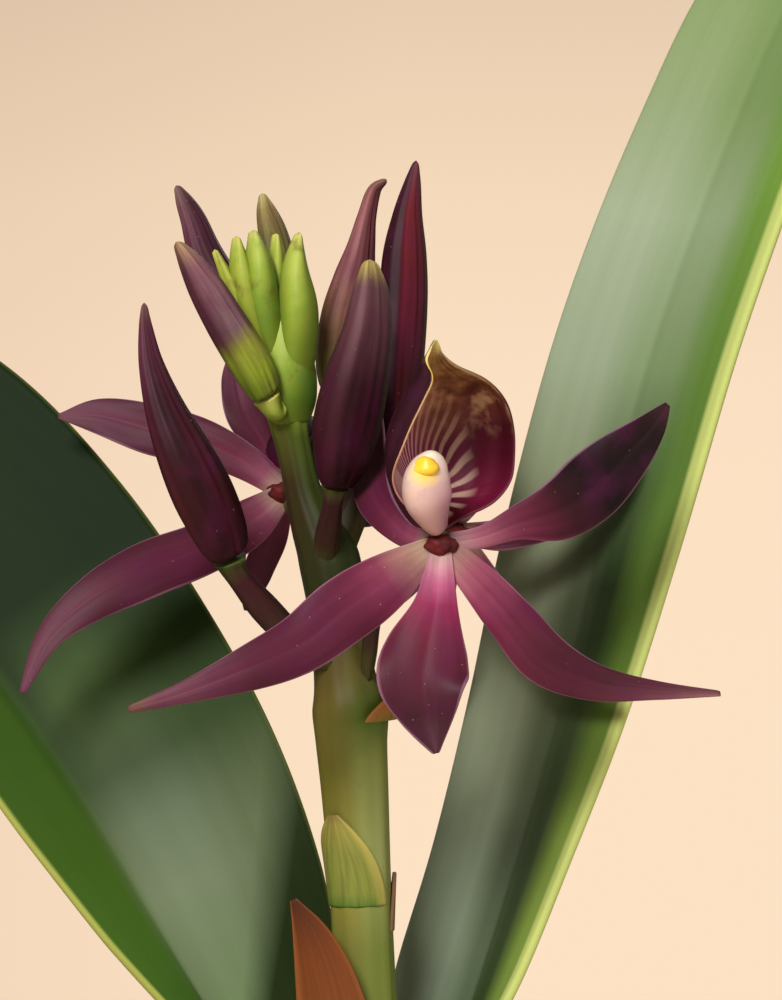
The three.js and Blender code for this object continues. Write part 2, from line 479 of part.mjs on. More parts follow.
const sideTepals = [
  { // low left, reaching towards the front
    spine: [[-0.3, 0, -0.4, 2.8], [-4, -1, -3.5, 5.6], [-9.5, -3, -6.5, 6.3], [-16, -6, -9, 7],
      [-21.5, -8, -12, 5.4], [-26.5, -9, -16.5, 3.2], [-29.5, -10, -23, 0.5]],
    face: [[0, -1, 0], [-0.1, -1, 0.3], [-0.2, -1, 0.2]], form: [[0, 0], [-0.05, 0], [-0.03, 0]],
  },
  { // high left, behind the left bud
    spine: [[-0.3, 0.2, 0.3, 2.4], [-4.5, 2, 3.5, 4.2], [-10, 4, 6, 5.6], [-16, 5, 7.5, 6.1],
      [-22, 6, 9, 4.4], [-27, 7, 9, 0.5]],
    face: [[0, -1, 0], [0, -1, 0.3]], form: [[0, 0], [0.05, 0]],
  },
  { // upright, behind the stem tip
    spine: [[-0.2, 0.3, 0.5, 2.4], [-2.6, 4, 5.6, 3.6], [-4.9, 7, 9.4, 4.5], [-6, 9, 13.4, 3.4],
      [-6.6, 11, 17, 0.5]],
    face: [[0, -1, 0.2]], form: [[0, 0], [0.05, 0]],
  },
  { // hanging, behind the left bud's stalk
    spine: [[0, 0.6, -0.5, 2.4], [-1.4, 3, -5, 3.6], [-2.9, 5, -8.6, 3.6], [-4, 6, -11.6, 2.6],
      [-4.6, 7, -14, 0.5]],
    face: [[0, -1, -0.2]],
  },
  { // right, behind the stem
    spine: [[0.5, 0.6, -0.3, 2.4], [3.5, 4, -1.6, 4.2], [7, 8, -2, 4.5], [10.5, 13, -2.2, 3.6],
      [13, 17, -2.5, 0.5]],
    face: [[0.3, -1, 0]],
  },
];
const rearTepals = [
  { // left petal
    spine: [[-0.6, 0, -0.3, 2.6], [-6, 2, -4.6, 5.5], [-10.5, 4, -8, 6], [-15, 6, -11.7, 5.2],
      [-20, 8, -14.6, 3], [-25, 9, -16.6, 0.5]],
    face: [[0, 1, 0], [-0.1, 1, 0.2]], form: [[0, 0], [-0.05, 0]],
  },
  { // dorsal sepal
    spine: [[0, 0, -0.5, 2.4], [-2.1, 2, -7.9, 4.4], [-3.1, 4, -13.3, 7.4], [-3.4, 5, -18, 6],
      [-2.4, 4, -22.5, 0.5]],
    face: [[0, 1, 0]], form: [[0, 0], [-0.05, 0]],
  },
  { // right petal
    spine: [[0.6, 0, -0.4, 2.6], [4.2, 0.5, -7, 4.6], [7.8, -0.5, -12, 5.2], [12.6, -6, -16, 4.6],
      [17, -14, -17.4, 2.6], [20, -18, -18, 0.5]],
    face: [[0, 1, 0], [0.1, 1, 0.2]], form: [[0, 0], [-0.05, 0]],
  },
  { // right lateral sepal
    spine: [[0.8, 0.4, 0.1, 2.4], [4.6, 0.6, -0.2, 3.6], [8, 0, 0.6, 4.4], [12.4, -1.6, 2.8, 5.6],
      [17.2, -2.6, 6.4, 5], [21, -3, 10, 0.5]],
    face: [[0, 1, 0]], form: [[0, 0], [0.05, 0]],
  },
  { // left lateral sepal
    spine: [[-0.8, 0.4, 0.1, 2.4], [-4.6, -0.8, 1.2, 3.6], [-8.2, -2.2, 4.8, 4.6], [-10.2, -3, 9.6, 4.6],
      [-11.2, -3, 14.6, 2.8], [-11.6, -2.6, 18.4, 0.5]],
    face: [[0, 1, 0], [-0.3, 1, 0]],
  },
];

// The lip stands above the heart as a hood. Rows of its shell, from claw to tip:
// [height, radius, left margin in degrees, right margin in degrees, shift right, shift back]
const LIP_RINGS = [
  [1.7, 0.9, 50, 50, 0.3, 1.3], [3.2, 2.9, 62, 80, 0.9, 0.9], [4.6, 5.3, 66, 94, 1.2, 0.3],
  [7, 6.9, 76, 100, 1.4, 0], [10, 7.3, 96, 101, 1.4, 0], [13, 6.9, 106, 104, 1.5, 0],
  [15.8, 5.7, 112, 108, 1.6, -0.3], [18, 3.9, 116, 110, 1.2, -0.9], [19.5, 2, 108, 100, -0.1, -1.5],
  [21, 1, 55, 55, -0.25, -2.7], [22.3, 0.8, 24, 24, -0.1, -2.75]];
const lipShell = (turn, spare = 0) => (t, u) => {
  const [height, radius, left, right, shift, back] = along(LIP_RINGS, t);
  const angle = (u * ((u < 0 ? left : right) + spare) * Math.PI) / 180 - turn;
  return [shift + radius * Math.sin(angle), back + radius * Math.cos(angle), height];
};
const columnShape = {
  spine: [[0, -0.6, 1.4, 1.8], [-0.8, -1.5, 2.8, 3.4], [-1.5, -2.4, 4.8, 5.2], [-1.7, -2.9, 6.5, 5.3],
    [-1.4, -3.3, 8, 4.2], [-0.75, -3.5, 9.2, 2.5], [-0.45, -3.6, 10.2, 0.9]],
  ribs: 3, ribDepth: 0.06,
};
const capShape = {
  spine: [[-2.9, -4.5, 8.2, 0.9], [-2.1, -5.1, 8.4, 2.1], [-1.3, -5.4, 8.6, 2.2], [-0.6, -5, 9, 0.9]],
};

// One bloom: its tepals on their hub, the hood, the column and the cap over its pollen.
// The frame gives the bloom's own right, back and up.
const bloom = (name, heart, tepals, { right, back, up, turn, size, lipMesh }) => {
  const matrix = new THREE.Matrix4().makeBasis(
    new THREE.Vector3(...right), new THREE.Vector3(...back), new THREE.Vector3(...up));
  matrix.scale(new THREE.Vector3(size, size, size)).setPosition(...heart);
  const inPlace = (solid) => solid.transform(matrix.elements);
  const spread = tepals.map((tepal) => sheet(blade({
    ...tepal, spine: tepal.spine.map(([x, y, z, width]) => [...add(heart, [x, y, z]), width]),
  }), { rows: 8, across: 4, thick: PETAL_THICKNESS }));
  const openHub = hub(heart, GAP);
  const column = inPlace(rounded(columnShape, { around: 9, rows: 6 }));
  const columnGrown = inPlace(rounded(columnShape, { around: 9, rows: 6 }, GAP));
  const thick = PETAL_THICKNESS / size;
  const lip = inPlace(sheet(lipShell(turn), { ...lipMesh, thick }));
  const lipGrown = inPlace(sheet(lipShell(turn, 6), { ...lipMesh, thick: thick + 3 * GAP }));
  const cap = inPlace(rounded(capShape, { around: 6, rows: 3 }));
  keep(`${name}_tepals`, clearOf(fuse([hub(heart), ...spread]), [lipGrown, columnGrown]), 'petal');
  keep(`${name}_lip`, clearOf(lip, [openHub, columnGrown]), 'lip');
  keep(`${name}_column`, clearOf(column, [openHub]), 'column');
  keep(`${name}_anther_cap`, clearOf(cap, [columnGrown]), 'cap');
};
const lean = (up, back) => {
  const level = unit(add(back, unit(up), -dot(back, unit(up))));
  return { right: cross(level, unit(up)), back: level, up: unit(up) };
};
bloom('front_bloom', FRONT_HEART, frontTepals, {
  ...lean([0, 0, 1], [0, 1, 0]), turn: 0.57, size: 1, lipMesh: { rows: 11, across: 9 },
});
bloom('side_bloom', SIDE_HEART, sideTepals, {
  ...lean([0.45, 0.8, 0.4], [0.3, -0.6, 0.8]), turn: 0, size: 0.72, lipMesh: { rows: 8, across: 7 },
});
bloom('rear_bloom', REAR_HEART, rearTepals, {
  ...lean([0, 0, 1], [0, -1, 0]), turn: 0, size: 0.88, lipMesh: { rows: 8, across: 7 },
});

export default group;
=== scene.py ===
import math

import bpy
from mathutils import Matrix, Vector, noise


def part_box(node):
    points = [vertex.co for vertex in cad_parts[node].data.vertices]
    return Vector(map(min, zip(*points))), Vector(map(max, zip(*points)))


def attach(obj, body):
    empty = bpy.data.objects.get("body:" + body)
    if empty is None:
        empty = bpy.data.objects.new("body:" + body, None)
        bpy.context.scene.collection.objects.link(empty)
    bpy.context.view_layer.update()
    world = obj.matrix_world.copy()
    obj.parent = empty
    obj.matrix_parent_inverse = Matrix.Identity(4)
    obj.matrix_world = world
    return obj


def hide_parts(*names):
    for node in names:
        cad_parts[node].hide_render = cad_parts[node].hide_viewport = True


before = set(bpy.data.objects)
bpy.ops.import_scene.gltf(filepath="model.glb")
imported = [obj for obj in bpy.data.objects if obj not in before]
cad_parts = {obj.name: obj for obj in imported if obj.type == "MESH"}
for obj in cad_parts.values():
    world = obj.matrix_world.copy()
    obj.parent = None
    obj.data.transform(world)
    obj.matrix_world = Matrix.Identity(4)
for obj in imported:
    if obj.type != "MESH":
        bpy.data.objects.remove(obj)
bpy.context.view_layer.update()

# A potted orchid of the cockleshell kind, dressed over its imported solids, from the pot upwards.
# Points and widths are written in millimetres and laid into the meshes in metres.
MM = 0.001

# The pot is thrown terracotta, fired and left unglazed. It is drawn up ring by ring from its foot,
# as on the wheel, with a thick band at the rim and five drain holes cut through its floor.
POT_SIDES = 128
FOOT_RADIUS = 39
WALL = 5
FLOOR = 6
FLOOR_FILLET = 3
RIM_BAND = 20
RIM_STEP = 2.8
DRAIN_HOLES = 5
DRAIN_RADIUS = 4.5
DRAIN_CIRCLE = 22
POT_EDGE = 0.5
RIM_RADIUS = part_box("pot")[1][0] / MM
POT_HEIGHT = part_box("pot")[1][2] / MM
BAND_FOOT = POT_HEIGHT - RIM_BAND


def linear(shade):
    parts = [int(shade[i:i + 2], 16) / 255 for i in (1, 3, 5)]
    return [p / 12.92 if p <= 0.04045 else ((p + 0.055) / 1.055) ** 2.4 for p in parts] + [1]


def wire(tree, target, inputs):
    for key, value in inputs.items():
        socket = target.inputs[key]
        if isinstance(key, str):
            socket = next(s for s in target.inputs if s.enabled and s.name == key)
        if isinstance(value, bpy.types.Node):
            value = next(s for s in value.outputs if s.enabled)
        if isinstance(value, bpy.types.NodeSocket):
            tree.links.new(value, socket)
        else:
            socket.default_value = linear(value) if isinstance(value, str) else value


def node(tree, kind, inputs=None, stops=None, **settings):
    made = tree.nodes.new("ShaderNode" + kind)
    for name, value in settings.items():
        setattr(made, name, value)
    for place, (at, value) in enumerate(stops or []):
        elements = made.color_ramp.elements
        element = elements[place] if place < 2 else elements.new(at)
        element.position = at
        element.color = linear(value) if isinstance(value, str) else (value, value, value, 1)
    wire(tree, made, inputs or {})
    return made


def fresh_finish(name):
    made = bpy.data.materials.new(name)
    made.use_nodes = True
    return made, made.node_tree, made.node_tree.nodes["Principled BSDF"]


def glazed(tree, under, colour, where, stops, **blend):
    """A second colour laid over the first, as thickly as the stops say for each value of where."""
    share = node(tree, "ValToRGB", {"Fac": where}, stops=stops)
    return node(tree, "Mix", {"Factor": share, "A": under, "B": colour}, data_type="RGBA", **blend)


def surfaced(tree, shader, colour, roughness, relief, strength, depth, shine=0.5):
    """A face of that colour and roughness, with its relief laid in, so many millimetres deep."""
    bump = node(tree, "Bump", {"Height": relief, "Strength": strength, "Distance": depth * MM})
    wire(tree, shader, {"Base Color": colour, "Roughness": roughness, "Specular IOR Level": shine,
                        "Normal": bump})


def apply_modifiers(piece):
    bpy.ops.object.select_all(action="DESELECT")
    bpy.context.view_layer.objects.active = piece
    piece.select_set(True)
    for modifier in list(piece.modifiers):
        bpy.ops.object.modifier_apply(modifier=modifier.name)


def stands_for(piece, cad_node):
    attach(piece, "root")
    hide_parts(cad_node)


def inner_radius(height):
    low = FOOT_RADIUS - WALL
    high = RIM_RADIUS - WALL
    return low + (high - low) * (height - FLOOR) / (POT_HEIGHT - FLOOR)


pot_rings = [
    (FOOT_RADIUS - 1, 0), (FOOT_RADIUS, 1.2), (RIM_RADIUS - RIM_STEP - 1.2, BAND_FOOT - 1),
    (RIM_RADIUS - 1.6, BAND_FOOT), (RIM_RADIUS - 0.8, BAND_FOOT + 1.4), (RIM_RADIUS, POT_HEIGHT - 3),
    (RIM_RADIUS - 0.9, POT_HEIGHT - 0.7), (RIM_RADIUS - 2.4, POT_HEIGHT),
    (inner_radius(POT_HEIGHT) + 1, POT_HEIGHT - 0.4), (inner_radius(POT_HEIGHT - 3), POT_HEIGHT - 3),
    (inner_radius(FLOOR + FLOOR_FILLET), FLOOR + FLOOR_FILLET),
    (inner_radius(FLOOR) - FLOOR_FILLET, FLOOR)]
radius, height = pot_rings[0]
bpy.ops.mesh.primitive_circle_add(vertices=POT_SIDES, radius=radius * MM, fill_type="NGON")
pot = bpy.context.object
bpy.ops.object.mode_set(mode="EDIT")
bpy.ops.mesh.select_all(action="SELECT")
for next_radius, next_height in pot_rings[1:]:
    rise = (0, 0, (next_height - height) * MM)
    grow = next_radius / radius
    bpy.ops.mesh.extrude_region_move(TRANSFORM_OT_translate={"value": rise})
    bpy.ops.transform.resize(value=(grow, grow, 1), center_override=(0, 0, next_height * MM))
    radius, height = next_radius, next_height
bpy.ops.mesh.select_all(action="SELECT")
bpy.ops.mesh.normals_make_consistent(inside=False)
bpy.ops.object.mode_set(mode="OBJECT")
drills = []
for i in range(DRAIN_HOLES):
    angle = (i + 0.5) / DRAIN_HOLES * 2 * math.pi
    place = (DRAIN_CIRCLE * MM * math.cos(angle), DRAIN_CIRCLE * MM * math.sin(angle), 0)
    bpy.ops.mesh.primitive_cylinder_add(vertices=32, radius=DRAIN_RADIUS * MM, depth=4 * FLOOR * MM,
                                        location=place)
    drills.append(bpy.context.object)
    cut = pot.modifiers.new(f"drain_{i}", "BOOLEAN")
    cut.object = drills[-1]
    cut.solver = "EXACT"
edge = pot.modifiers.new("worn_edge", "BEVEL")
edge.width = POT_EDGE * MM
edge.segments = 2
edge.limit_method = "ANGLE"
edge.angle_limit = math.radians(24)
apply_modifiers(pot)
for drill in drills:
    bpy.data.objects.remove(drill)
bpy.ops.object.shade_smooth_by_angle(angle=math.radians(40))

# Unglazed terracotta: an orange body, chalky where minerals have come through it, green with algae
# by the foot, with the rings of the throwing in it and a gritty, quite matt face.
CLAY_PATCH = 34
MINERAL_PATCH = 13
THROWING_RING = 2.1
CLAY_GRIT = 0.7
terracotta, tree, shader = fresh_finish("terracotta")
place = node(tree, "TexCoord").outputs["Object"]
height_up = node(tree, "SeparateXYZ", {"Vector": place}).outputs["Z"]
patches = node(tree, "TexNoise", {"Vector": place, "Scale": 1 / (CLAY_PATCH * MM), "Detail": 5})
body = node(tree, "ValToRGB", {"Fac": patches},
            stops=[(0.3, "#9c5331"), (0.52, "#b4663f"), (0.75, "#c67d55")])
low_down = node(tree, "MapRange", {"Value": height_up, "From Min": 0.05, "From Max": 0.0})
speckle = node(tree, "TexNoise", {"Vector": place, "Scale": 1 / (MINERAL_PATCH * MM), "Detail": 9,
                                  "Roughness": 0.65})
bloom_edge = node(tree, "Math", {0: low_down, 1: 0.3, 2: speckle}, operation="MULTIPLY_ADD")
chalked = glazed(tree, body, "#d8c2ab", bloom_edge, [(0.56, 0), (0.9, 0.6)])
algae_edge = node(tree, "Math", {0: low_down, 1: patches}, operation="MULTIPLY")
weathered = glazed(tree, chalked, "#6d6a3a", algae_edge, [(0.3, 0), (0.6, 0.5)])
rings = node(tree, "TexWave", {"Vector": place, "Scale": 1 / (THROWING_RING * MM) / 6, "Distortion": 1.5,
                               "Detail": 2, "Detail Scale": 0.6}, bands_direction="Z")
grit = node(tree, "TexNoise", {"Vector": place, "Scale": 1 / (CLAY_GRIT * MM), "Detail": 3})
relief = node(tree, "Math", {0: rings, 1: 0.6, 2: grit}, operation="MULTIPLY_ADD")
surfaced(tree, shader, weathered, roughness=0.88, relief=relief, strength=0.35, depth=0.2)
pot.data.materials.append(terracotta)
pot.name = "terracotta_pot"
stands_for(pot, "pot")

# The potting bark is chopped conifer bark: a bed of crumbs with flat chips lying on it at all
# angles. A few chips are hewn, then copied, each scaled and turned to its own place.
BARK_TOP = 81
CHIP = (21, 14, 8)
CHIP_SHARE = 0.84
LARGE_CHIPS = 36
SMALL_CHIPS = 170
CHIP_KINDS = 5
HEWN_FACET = 1.3
SPLINTER = 0.28
BED_GAP = 0.6
GOLDEN_ANGLE = math.pi * (3 - math.sqrt(5))


def scatter(seed):
    value = math.sin(seed * 12.9898) * 43758.5453
    return value - math.floor(value)


def join_into_one(pieces, name):
    bpy.ops.object.select_all(action="DESELECT")
    for piece in pieces:
        piece.select_set(True)
    bpy.context.view_layer.objects.active = pieces[0]
    bpy.ops.object.join()
    pieces[0].name = name
    return pieces[0]


def hewn_chip(seed, fine):
    bpy.ops.mesh.primitive_cube_add(size=MM, scale=[side * CHIP_SHARE for side in CHIP])
    bpy.ops.object.transform_apply(location=True, rotation=True, scale=True)
    bpy.ops.object.mode_set(mode="EDIT")
    bpy.ops.mesh.select_all(action="SELECT")
    bpy.ops.mesh.subdivide(number_cuts=2)
    bpy.ops.transform.vertex_random(offset=HEWN_FACET * MM, uniform=0.9, seed=seed)
    if fine:
        bpy.ops.mesh.subdivide(number_cuts=2, smoothness=0.3)
        bpy.ops.transform.vertex_random(offset=SPLINTER * MM, uniform=0.7, seed=seed + 20)
    bpy.ops.object.mode_set(mode="OBJECT")
    bpy.ops.object.shade_smooth_by_angle(angle=math.radians(28))
    return bpy.context.object


chip_kinds = [hewn_chip(i, True) for i in range(CHIP_KINDS)]
crumb_kinds = [hewn_chip(i + CHIP_KINDS, False) for i in range(CHIP_KINDS)]


def lay_chip(kinds, seed, size, reach, turn, height, tilt):
    chip = kinds[seed % CHIP_KINDS].copy()
    chip.data = chip.data.copy()
    bpy.context.collection.objects.link(chip)
    rock = Matrix.Rotation(tilt * (scatter(seed + 201) - 0.5), 4, "Y")
    rock = rock @ Matrix.Rotation(tilt * (scatter(seed + 101) - 0.5), 4, "X")
    spot = Vector((reach * math.cos(turn), reach * math.sin(turn), height)) * MM
    heading_turn = Matrix.Rotation(math.pi * scatter(seed + 301), 4, "Z")
    chip.data.transform(Matrix.Translation(spot) @ heading_turn @ rock @ Matrix.Scale(size, 4))
    tone = chip.data.attributes.new("chip_tone", "FLOAT", "POINT")
    tone.data.foreach_set("value", [scatter(seed * 3 + 7)] * len(chip.data.vertices))
    return chip


# A layer's chips, their number, how far they stay off the wall, their least size and height with
# the most that is added by chance, and their tilt.
bark_layers = [
    (chip_kinds, LARGE_CHIPS, 7, (0.75, 0.45), (BARK_TOP, 2), 0.7),
    (crumb_kinds, SMALL_CHIPS, 4, (0.22, 0.3), (BARK_TOP + 1.5, 3), 1.6)]
bark = []
for kinds, count, inset, (size, more_size), (height, more_height), tilt in bark_layers:
    for i in range(count):
        seed = len(bark)
        reach = (inner_radius(BARK_TOP) - inset) * math.sqrt((i + 0.5) / count)
        bark.append(lay_chip(kinds, seed, size + more_size * scatter(seed + 1), reach,
                             seed * GOLDEN_ANGLE, height + more_height * scatter(seed + 401), tilt))
for kind in chip_kinds + crumb_kinds:
    bpy.data.objects.remove(kind)
bpy.ops.mesh.primitive_cylinder_add(vertices=64, radius=(inner_radius(BARK_TOP) - BED_GAP) * MM,
                                    depth=(BARK_TOP - FLOOR - BED_GAP) * MM,
                                    location=(0, 0, (BARK_TOP + FLOOR + BED_GAP) / 2 * MM))
bpy.ops.object.transform_apply(location=True, rotation=True, scale=True)
bed = bpy.context.object
foot_share = (inner_radius(FLOOR) - FLOOR_FILLET - BED_GAP) / (inner_radius(BARK_TOP) - BED_GAP)
bpy.ops.object.mode_set(mode="EDIT")
bpy.ops.mesh.select_all(action="DESELECT")
bpy.ops.object.mode_set(mode="OBJECT")
for corner in bed.data.vertices:
    corner.select = corner.co.z < BARK_TOP / 2 * MM
bpy.ops.object.mode_set(mode="EDIT")
bpy.ops.transform.resize(value=(foot_share, foot_share, 1), center_override=(0, 0, FLOOR * MM))
bpy.ops.object.mode_set(mode="OBJECT")
bed.data.attributes.new("chip_tone", "FLOAT", "POINT")
bark = join_into_one(bark + [bed], "bark_chips")

# Conifer bark: rust to near black from chip to chip, in thin dark and tan layers along the chip,
# with a dry, rough, fibrous face.
BARK_LAYER = 1.6
BARK_FIBRE = 0.45
conifer_bark, tree, shader = fresh_finish("conifer_bark")
place = node(tree, "TexCoord").outputs["Object"]
tone = node(tree, "Attribute", attribute_name="chip_tone").outputs["Fac"]
chip_colour = node(tree, "ValToRGB", {"Fac": tone},
                   stops=[(0, "#2f1d14"), (0.3, "#5b3523"), (0.65, "#7a4a30"), (1, "#94623f")])
layers = node(tree, "TexNoise", {"Vector": place, "Scale": 1 / (BARK_LAYER * MM), "Detail": 6,
                                 "Roughness": 0.7, "Distortion": 0.6})
layered = glazed(tree, chip_colour, "#2a1a12", layers, [(0.42, 0), (0.62, 0.8)])
fibre = node(tree, "TexNoise", {"Vector": place, "Scale": 1 / (BARK_FIBRE * MM), "Detail": 4})
dusted = glazed(tree, layered, "#a98058", fibre, [(0.58, 0), (0.72, 0.45)])
relief = node(tree, "Math", {0: layers, 1: fibre}, operation="ADD")
surfaced(tree, shader, dusted, roughness=0.92, relief=relief, strength=0.7, depth=0.5)
bark.data.materials.append(conifer_bark)
stands_for(bark, "potting_bark")

# The rhizome creeps over the bark from the oldest bulb to a new shoot, in short ringed joints.
# Its roots are pale and spongy. They run out over the bark and dive into it. Each is drawn along a
# spine, which is a list of points with the width there.
RHIZOME_WIDTH = 8
RHIZOME_RINGS = 26
RING_STEP = 0.35
ROOT_WIDTH = 3.2
ROOT_LUMP = 0.35
CAP_SHARE = 0.03
WELD = 0.002


def along(rows, t):
    """A smooth reading of the rows at t, which is 0 at the first row and 1 at the last."""
    last = len(rows) - 1
    if last == 0:
        return rows[0]
    step = min(max(t, 0), 1) * last
    i = min(int(step), last - 1)
    f = step - i
    before = rows[i - 1] if i > 0 else [2 * v - w for v, w in zip(rows[0], rows[1])]
    after = rows[i + 2] if i + 2 <= last else [2 * v - w for v, w in zip(rows[last], rows[last - 1])]
    return [0.5 * (2 * b + (c - a) * f + (2 * a - 5 * b + 4 * c - d) * f ** 2
                   + (3 * b - a - 3 * c + d) * f ** 3)
            for a, b, c, d in zip(before, rows[i], rows[i + 1], after)]


def heading(rows, t):
    """The way a spine runs at t."""
    step = 0.01
    ahead = Vector(along(rows, min(t + step, 1))[:3])
    behind = Vector(along(rows, max(t - step, 0))[:3])
    return (ahead - behind).normalized()


def skin(spine, ribs=0, rib_depth=0, flat=1, level=False):
    """The surface round a spine. It gives the point at t and angle, lifted off it by so much."""
    def surface(t, angle, off=0):
        x, y, z, width = along(spine, t)
        forward = heading(spine, t)
        side = Vector((0, 0, 1) if level else (0, 1, 0)).cross(forward).normalized()
        depth = side.cross(forward)
        radius = width / 2 * (1 + rib_depth * math.cos(ribs * angle))
        across = side * (radius + off) * math.cos(angle)
        return Vector((x, y, z)) + across + depth * (radius * flat + off) * math.sin(angle)
    return surface


def strip(name, point_at, rows, across):
    """A grid laid over point_at(t, u), u from -1 to 1. Its UV map runs across and along it."""
    bpy.ops.mesh.primitive_grid_add(x_subdivisions=across, y_subdivisions=rows, size=2)
    made = bpy.context.object
    for corner in made.data.vertices:
        corner.co = point_at((corner.co.y + 1) / 2, corner.co.x) * MM
    bpy.ops.object.shade_smooth()
    made.name = name
    return made


def rolled(name, surface, spine, around, rows, cap=CAP_SHARE):
    """A strip rolled into a tube and closed at both ends. Its UV map runs round and along it."""
    def closing(t, u):
        inward = max(1 - t / cap, 1 - (1 - t) / cap, 0)
        middle = Vector(along(spine, t)[:3])
        full = surface(t, (u + 1) * math.pi)
        return middle + (full - middle) * math.sqrt(1 - inward ** 2)
    made = strip(name, closing, rows, around)
    bpy.ops.object.mode_set(mode="EDIT")
    bpy.ops.mesh.select_all(action="SELECT")
    bpy.ops.mesh.remove_doubles(threshold=WELD * MM)
    bpy.ops.mesh.normals_make_consistent(inside=False)
    bpy.ops.object.mode_set(mode="OBJECT")
    return made


def piece_map(tree):
    """The piece's own map, and its two readings: X round or across it, and Y along it."""
    uv_map = node(tree, "UVMap", uv_map="UVMap")
    return uv_map, node(tree, "SeparateXYZ", {"Vector": uv_map})


rhizome_spine = [
    [-29, 33, 83, 6], [-27, 27, 83.5, RHIZOME_WIDTH], [-20, 5, 83.5, RHIZOME_WIDTH],
    [-4, 1, 83.5, RHIZOME_WIDTH], [12, 2, 83.5, RHIZOME_WIDTH], [25, -3, 84.5, RHIZOME_WIDTH],
    [31, -5, 88, 7], [33, -5.5, 94, 4], [33.5, -5.5, 97, 1]]
root_runs = [
    [[10, 0, 83], [9, -12, 88.5], [4, -26, 87.5], [-4, -35, 80], [-8, -39, 72]],
    [[20, 0, 83], [26, -14, 89], [27, -26, 87], [24, -32, 79], [21, -36, 71]],
    [[14, 4, 83], [20, 16, 88.5], [27, 23, 87.5], [30, 26, 79], [30, 30, 71]],
    [[-2, 2, 83], [0, 14, 88.5], [-2, 28, 87.5], [-5, 35, 79], [-7, 39, 71]],
    [[-14, 2, 83], [-18, -10, 88.5], [-28, -20, 87.5], [-32, -24, 79], [-32, -28, 71]],
    [[-20, 8, 83], [-30, 8, 88.5], [-37, 4, 86], [-40, 0, 78], [-41, -4, 71]],
    [[24, -2, 84], [34, 4, 88.5], [39, 10, 86], [40, 14, 78], [38, 18, 71]]]


def ringed_joint(t, angle):
    ring = RING_STEP * abs(math.sin(RHIZOME_RINGS * math.pi * t)) ** 0.5
    return skin(rhizome_spine, level=True)(t, angle, ring - 0.2)


def spongy_root(spine, seed):
    surface = skin(spine, level=True)

    def wandering(t, angle):
        lump = noise.noise(surface(t, angle) * 0.25 + Vector((seed, 0, 0)))
        return surface(t, angle, ROOT_LUMP * lump)
    return wandering


rhizome = rolled("rhizome", ringed_joint, rhizome_spine, 28, 150)
roots = []
for i, run in enumerate(root_runs):
    root_spine = [[*point, ROOT_WIDTH * (1.3 if row == 0 else 1)] for row, point in enumerate(run)]
    roots.append(rolled(f"root_{i}", spongy_root(root_spine, i), root_spine, 16, 70))

# Rhizome skin: green where the joints are young, browner by the old bulb, with a torn brown scale
# left at each ring.
SCALE_FRAY = 1.4
rhizome_skin, tree, shader = fresh_finish("rhizome_skin")
uv = piece_map(tree)[1]
place = node(tree, "TexCoord").outputs["Object"]
age = node(tree, "ValToRGB", {"Fac": uv.outputs["Y"]},
           stops=[(0, "#6b5537"), (0.45, "#7d7040"), (0.75, "#6f8440"), (0.95, "#9aa851")])
fray = node(tree, "TexNoise", {"Vector": place, "Scale": 1 / (SCALE_FRAY * MM), "Detail": 7})
scaled = glazed(tree, age, "#8a6a44", fray, [(0.46, 0), (0.6, 0.85)])
surfaced(tree, shader, scaled, roughness=0.7, relief=fray, strength=0.6, depth=0.4)
rhizome.data.materials.append(rhizome_skin)

# Velamen, the spongy coat of a root: silvery white and matt when dry, with green showing through
# in patches and fine cracks along it.
ROOT_PATCH = 6
ROOT_CRACK = 1.1
velamen, tree, shader = fresh_finish("velamen")
place = node(tree, "TexCoord").outputs["Object"]
patches = node(tree, "TexNoise", {"Vector": place, "Scale": 1 / (ROOT_PATCH * MM), "Detail": 6})
coat = node(tree, "ValToRGB", {"Fac": patches},
            stops=[(0.3, "#8e9470"), (0.48, "#bdb89b"), (0.7, "#d8d2bd")])
cracks = node(tree, "TexVoronoi", {"Vector": place, "Scale": 1 / (ROOT_CRACK * MM)},
              feature="DISTANCE_TO_EDGE")
cracked = glazed(tree, coat, "#7f7358", cracks, [(0.0, 0.5), (0.06, 0)])
surfaced(tree, shader, cracked, roughness=0.85, relief=cracks, strength=0.3, depth=0.15)
for root in roots:
    root.data.materials.append(velamen)
creeping_roots = join_into_one([rhizome, *roots], "rhizome_with_roots")
stands_for(creeping_roots, "rhizome_and_roots")

# Three pseudobulbs store the plant's water. They are flattened and ribbed lengthwise: the lead bulb
# carries leaves and flowers, the middle one leaves, and the oldest is bare and shrivelled.
bulbs = {
    "lead": {
        "spine": [[12, 2, 87.9, 11], [12, 2, 94, 22], [10.5, 2, 109, 31], [8, 1.8, 128, 29],
                  [5, 1.4, 146, 22], [3.4, 1, 158, 17.5], [3, 1, 164.4, 16.5]],
        "ribs": 7, "rib_depth": 0.04, "flat": 0.74},
    "middle": {
        "spine": [[-20, 5, 87.9, 10], [-20.5, 5, 93, 20], [-22, 5, 107, 28], [-24, 4.5, 124, 24],
                  [-25.5, 4, 138, 15], [-26, 4, 147, 10]],
        "ribs": 7, "rib_depth": 0.055, "flat": 0.7},
    "old": {
        "spine": [[-27, 27, 87.9, 9], [-28, 28, 92, 17], [-29.5, 30, 103, 24], [-31, 32, 117, 19],
                  [-32, 34, 129, 10], [-32.5, 35, 134, 5]],
        "ribs": 7, "rib_depth": 0.08, "flat": 0.68},
}
bulb_tones = {
    "lead": [(0, "#7d7a3c"), (0.12, "#6f8a3a"), (0.6, "#67893a"), (0.92, "#7d9444"), (1, "#8c8a4c")],
    "middle": [(0, "#857343"), (0.15, "#77843b"), (0.65, "#6f8438"), (0.9, "#868743"), (1, "#8b6f46")],
    "old": [(0, "#7a6238"), (0.2, "#8a8142"), (0.6, "#8f8743"), (0.85, "#8a7444"), (1, "#6b4c30")],
}
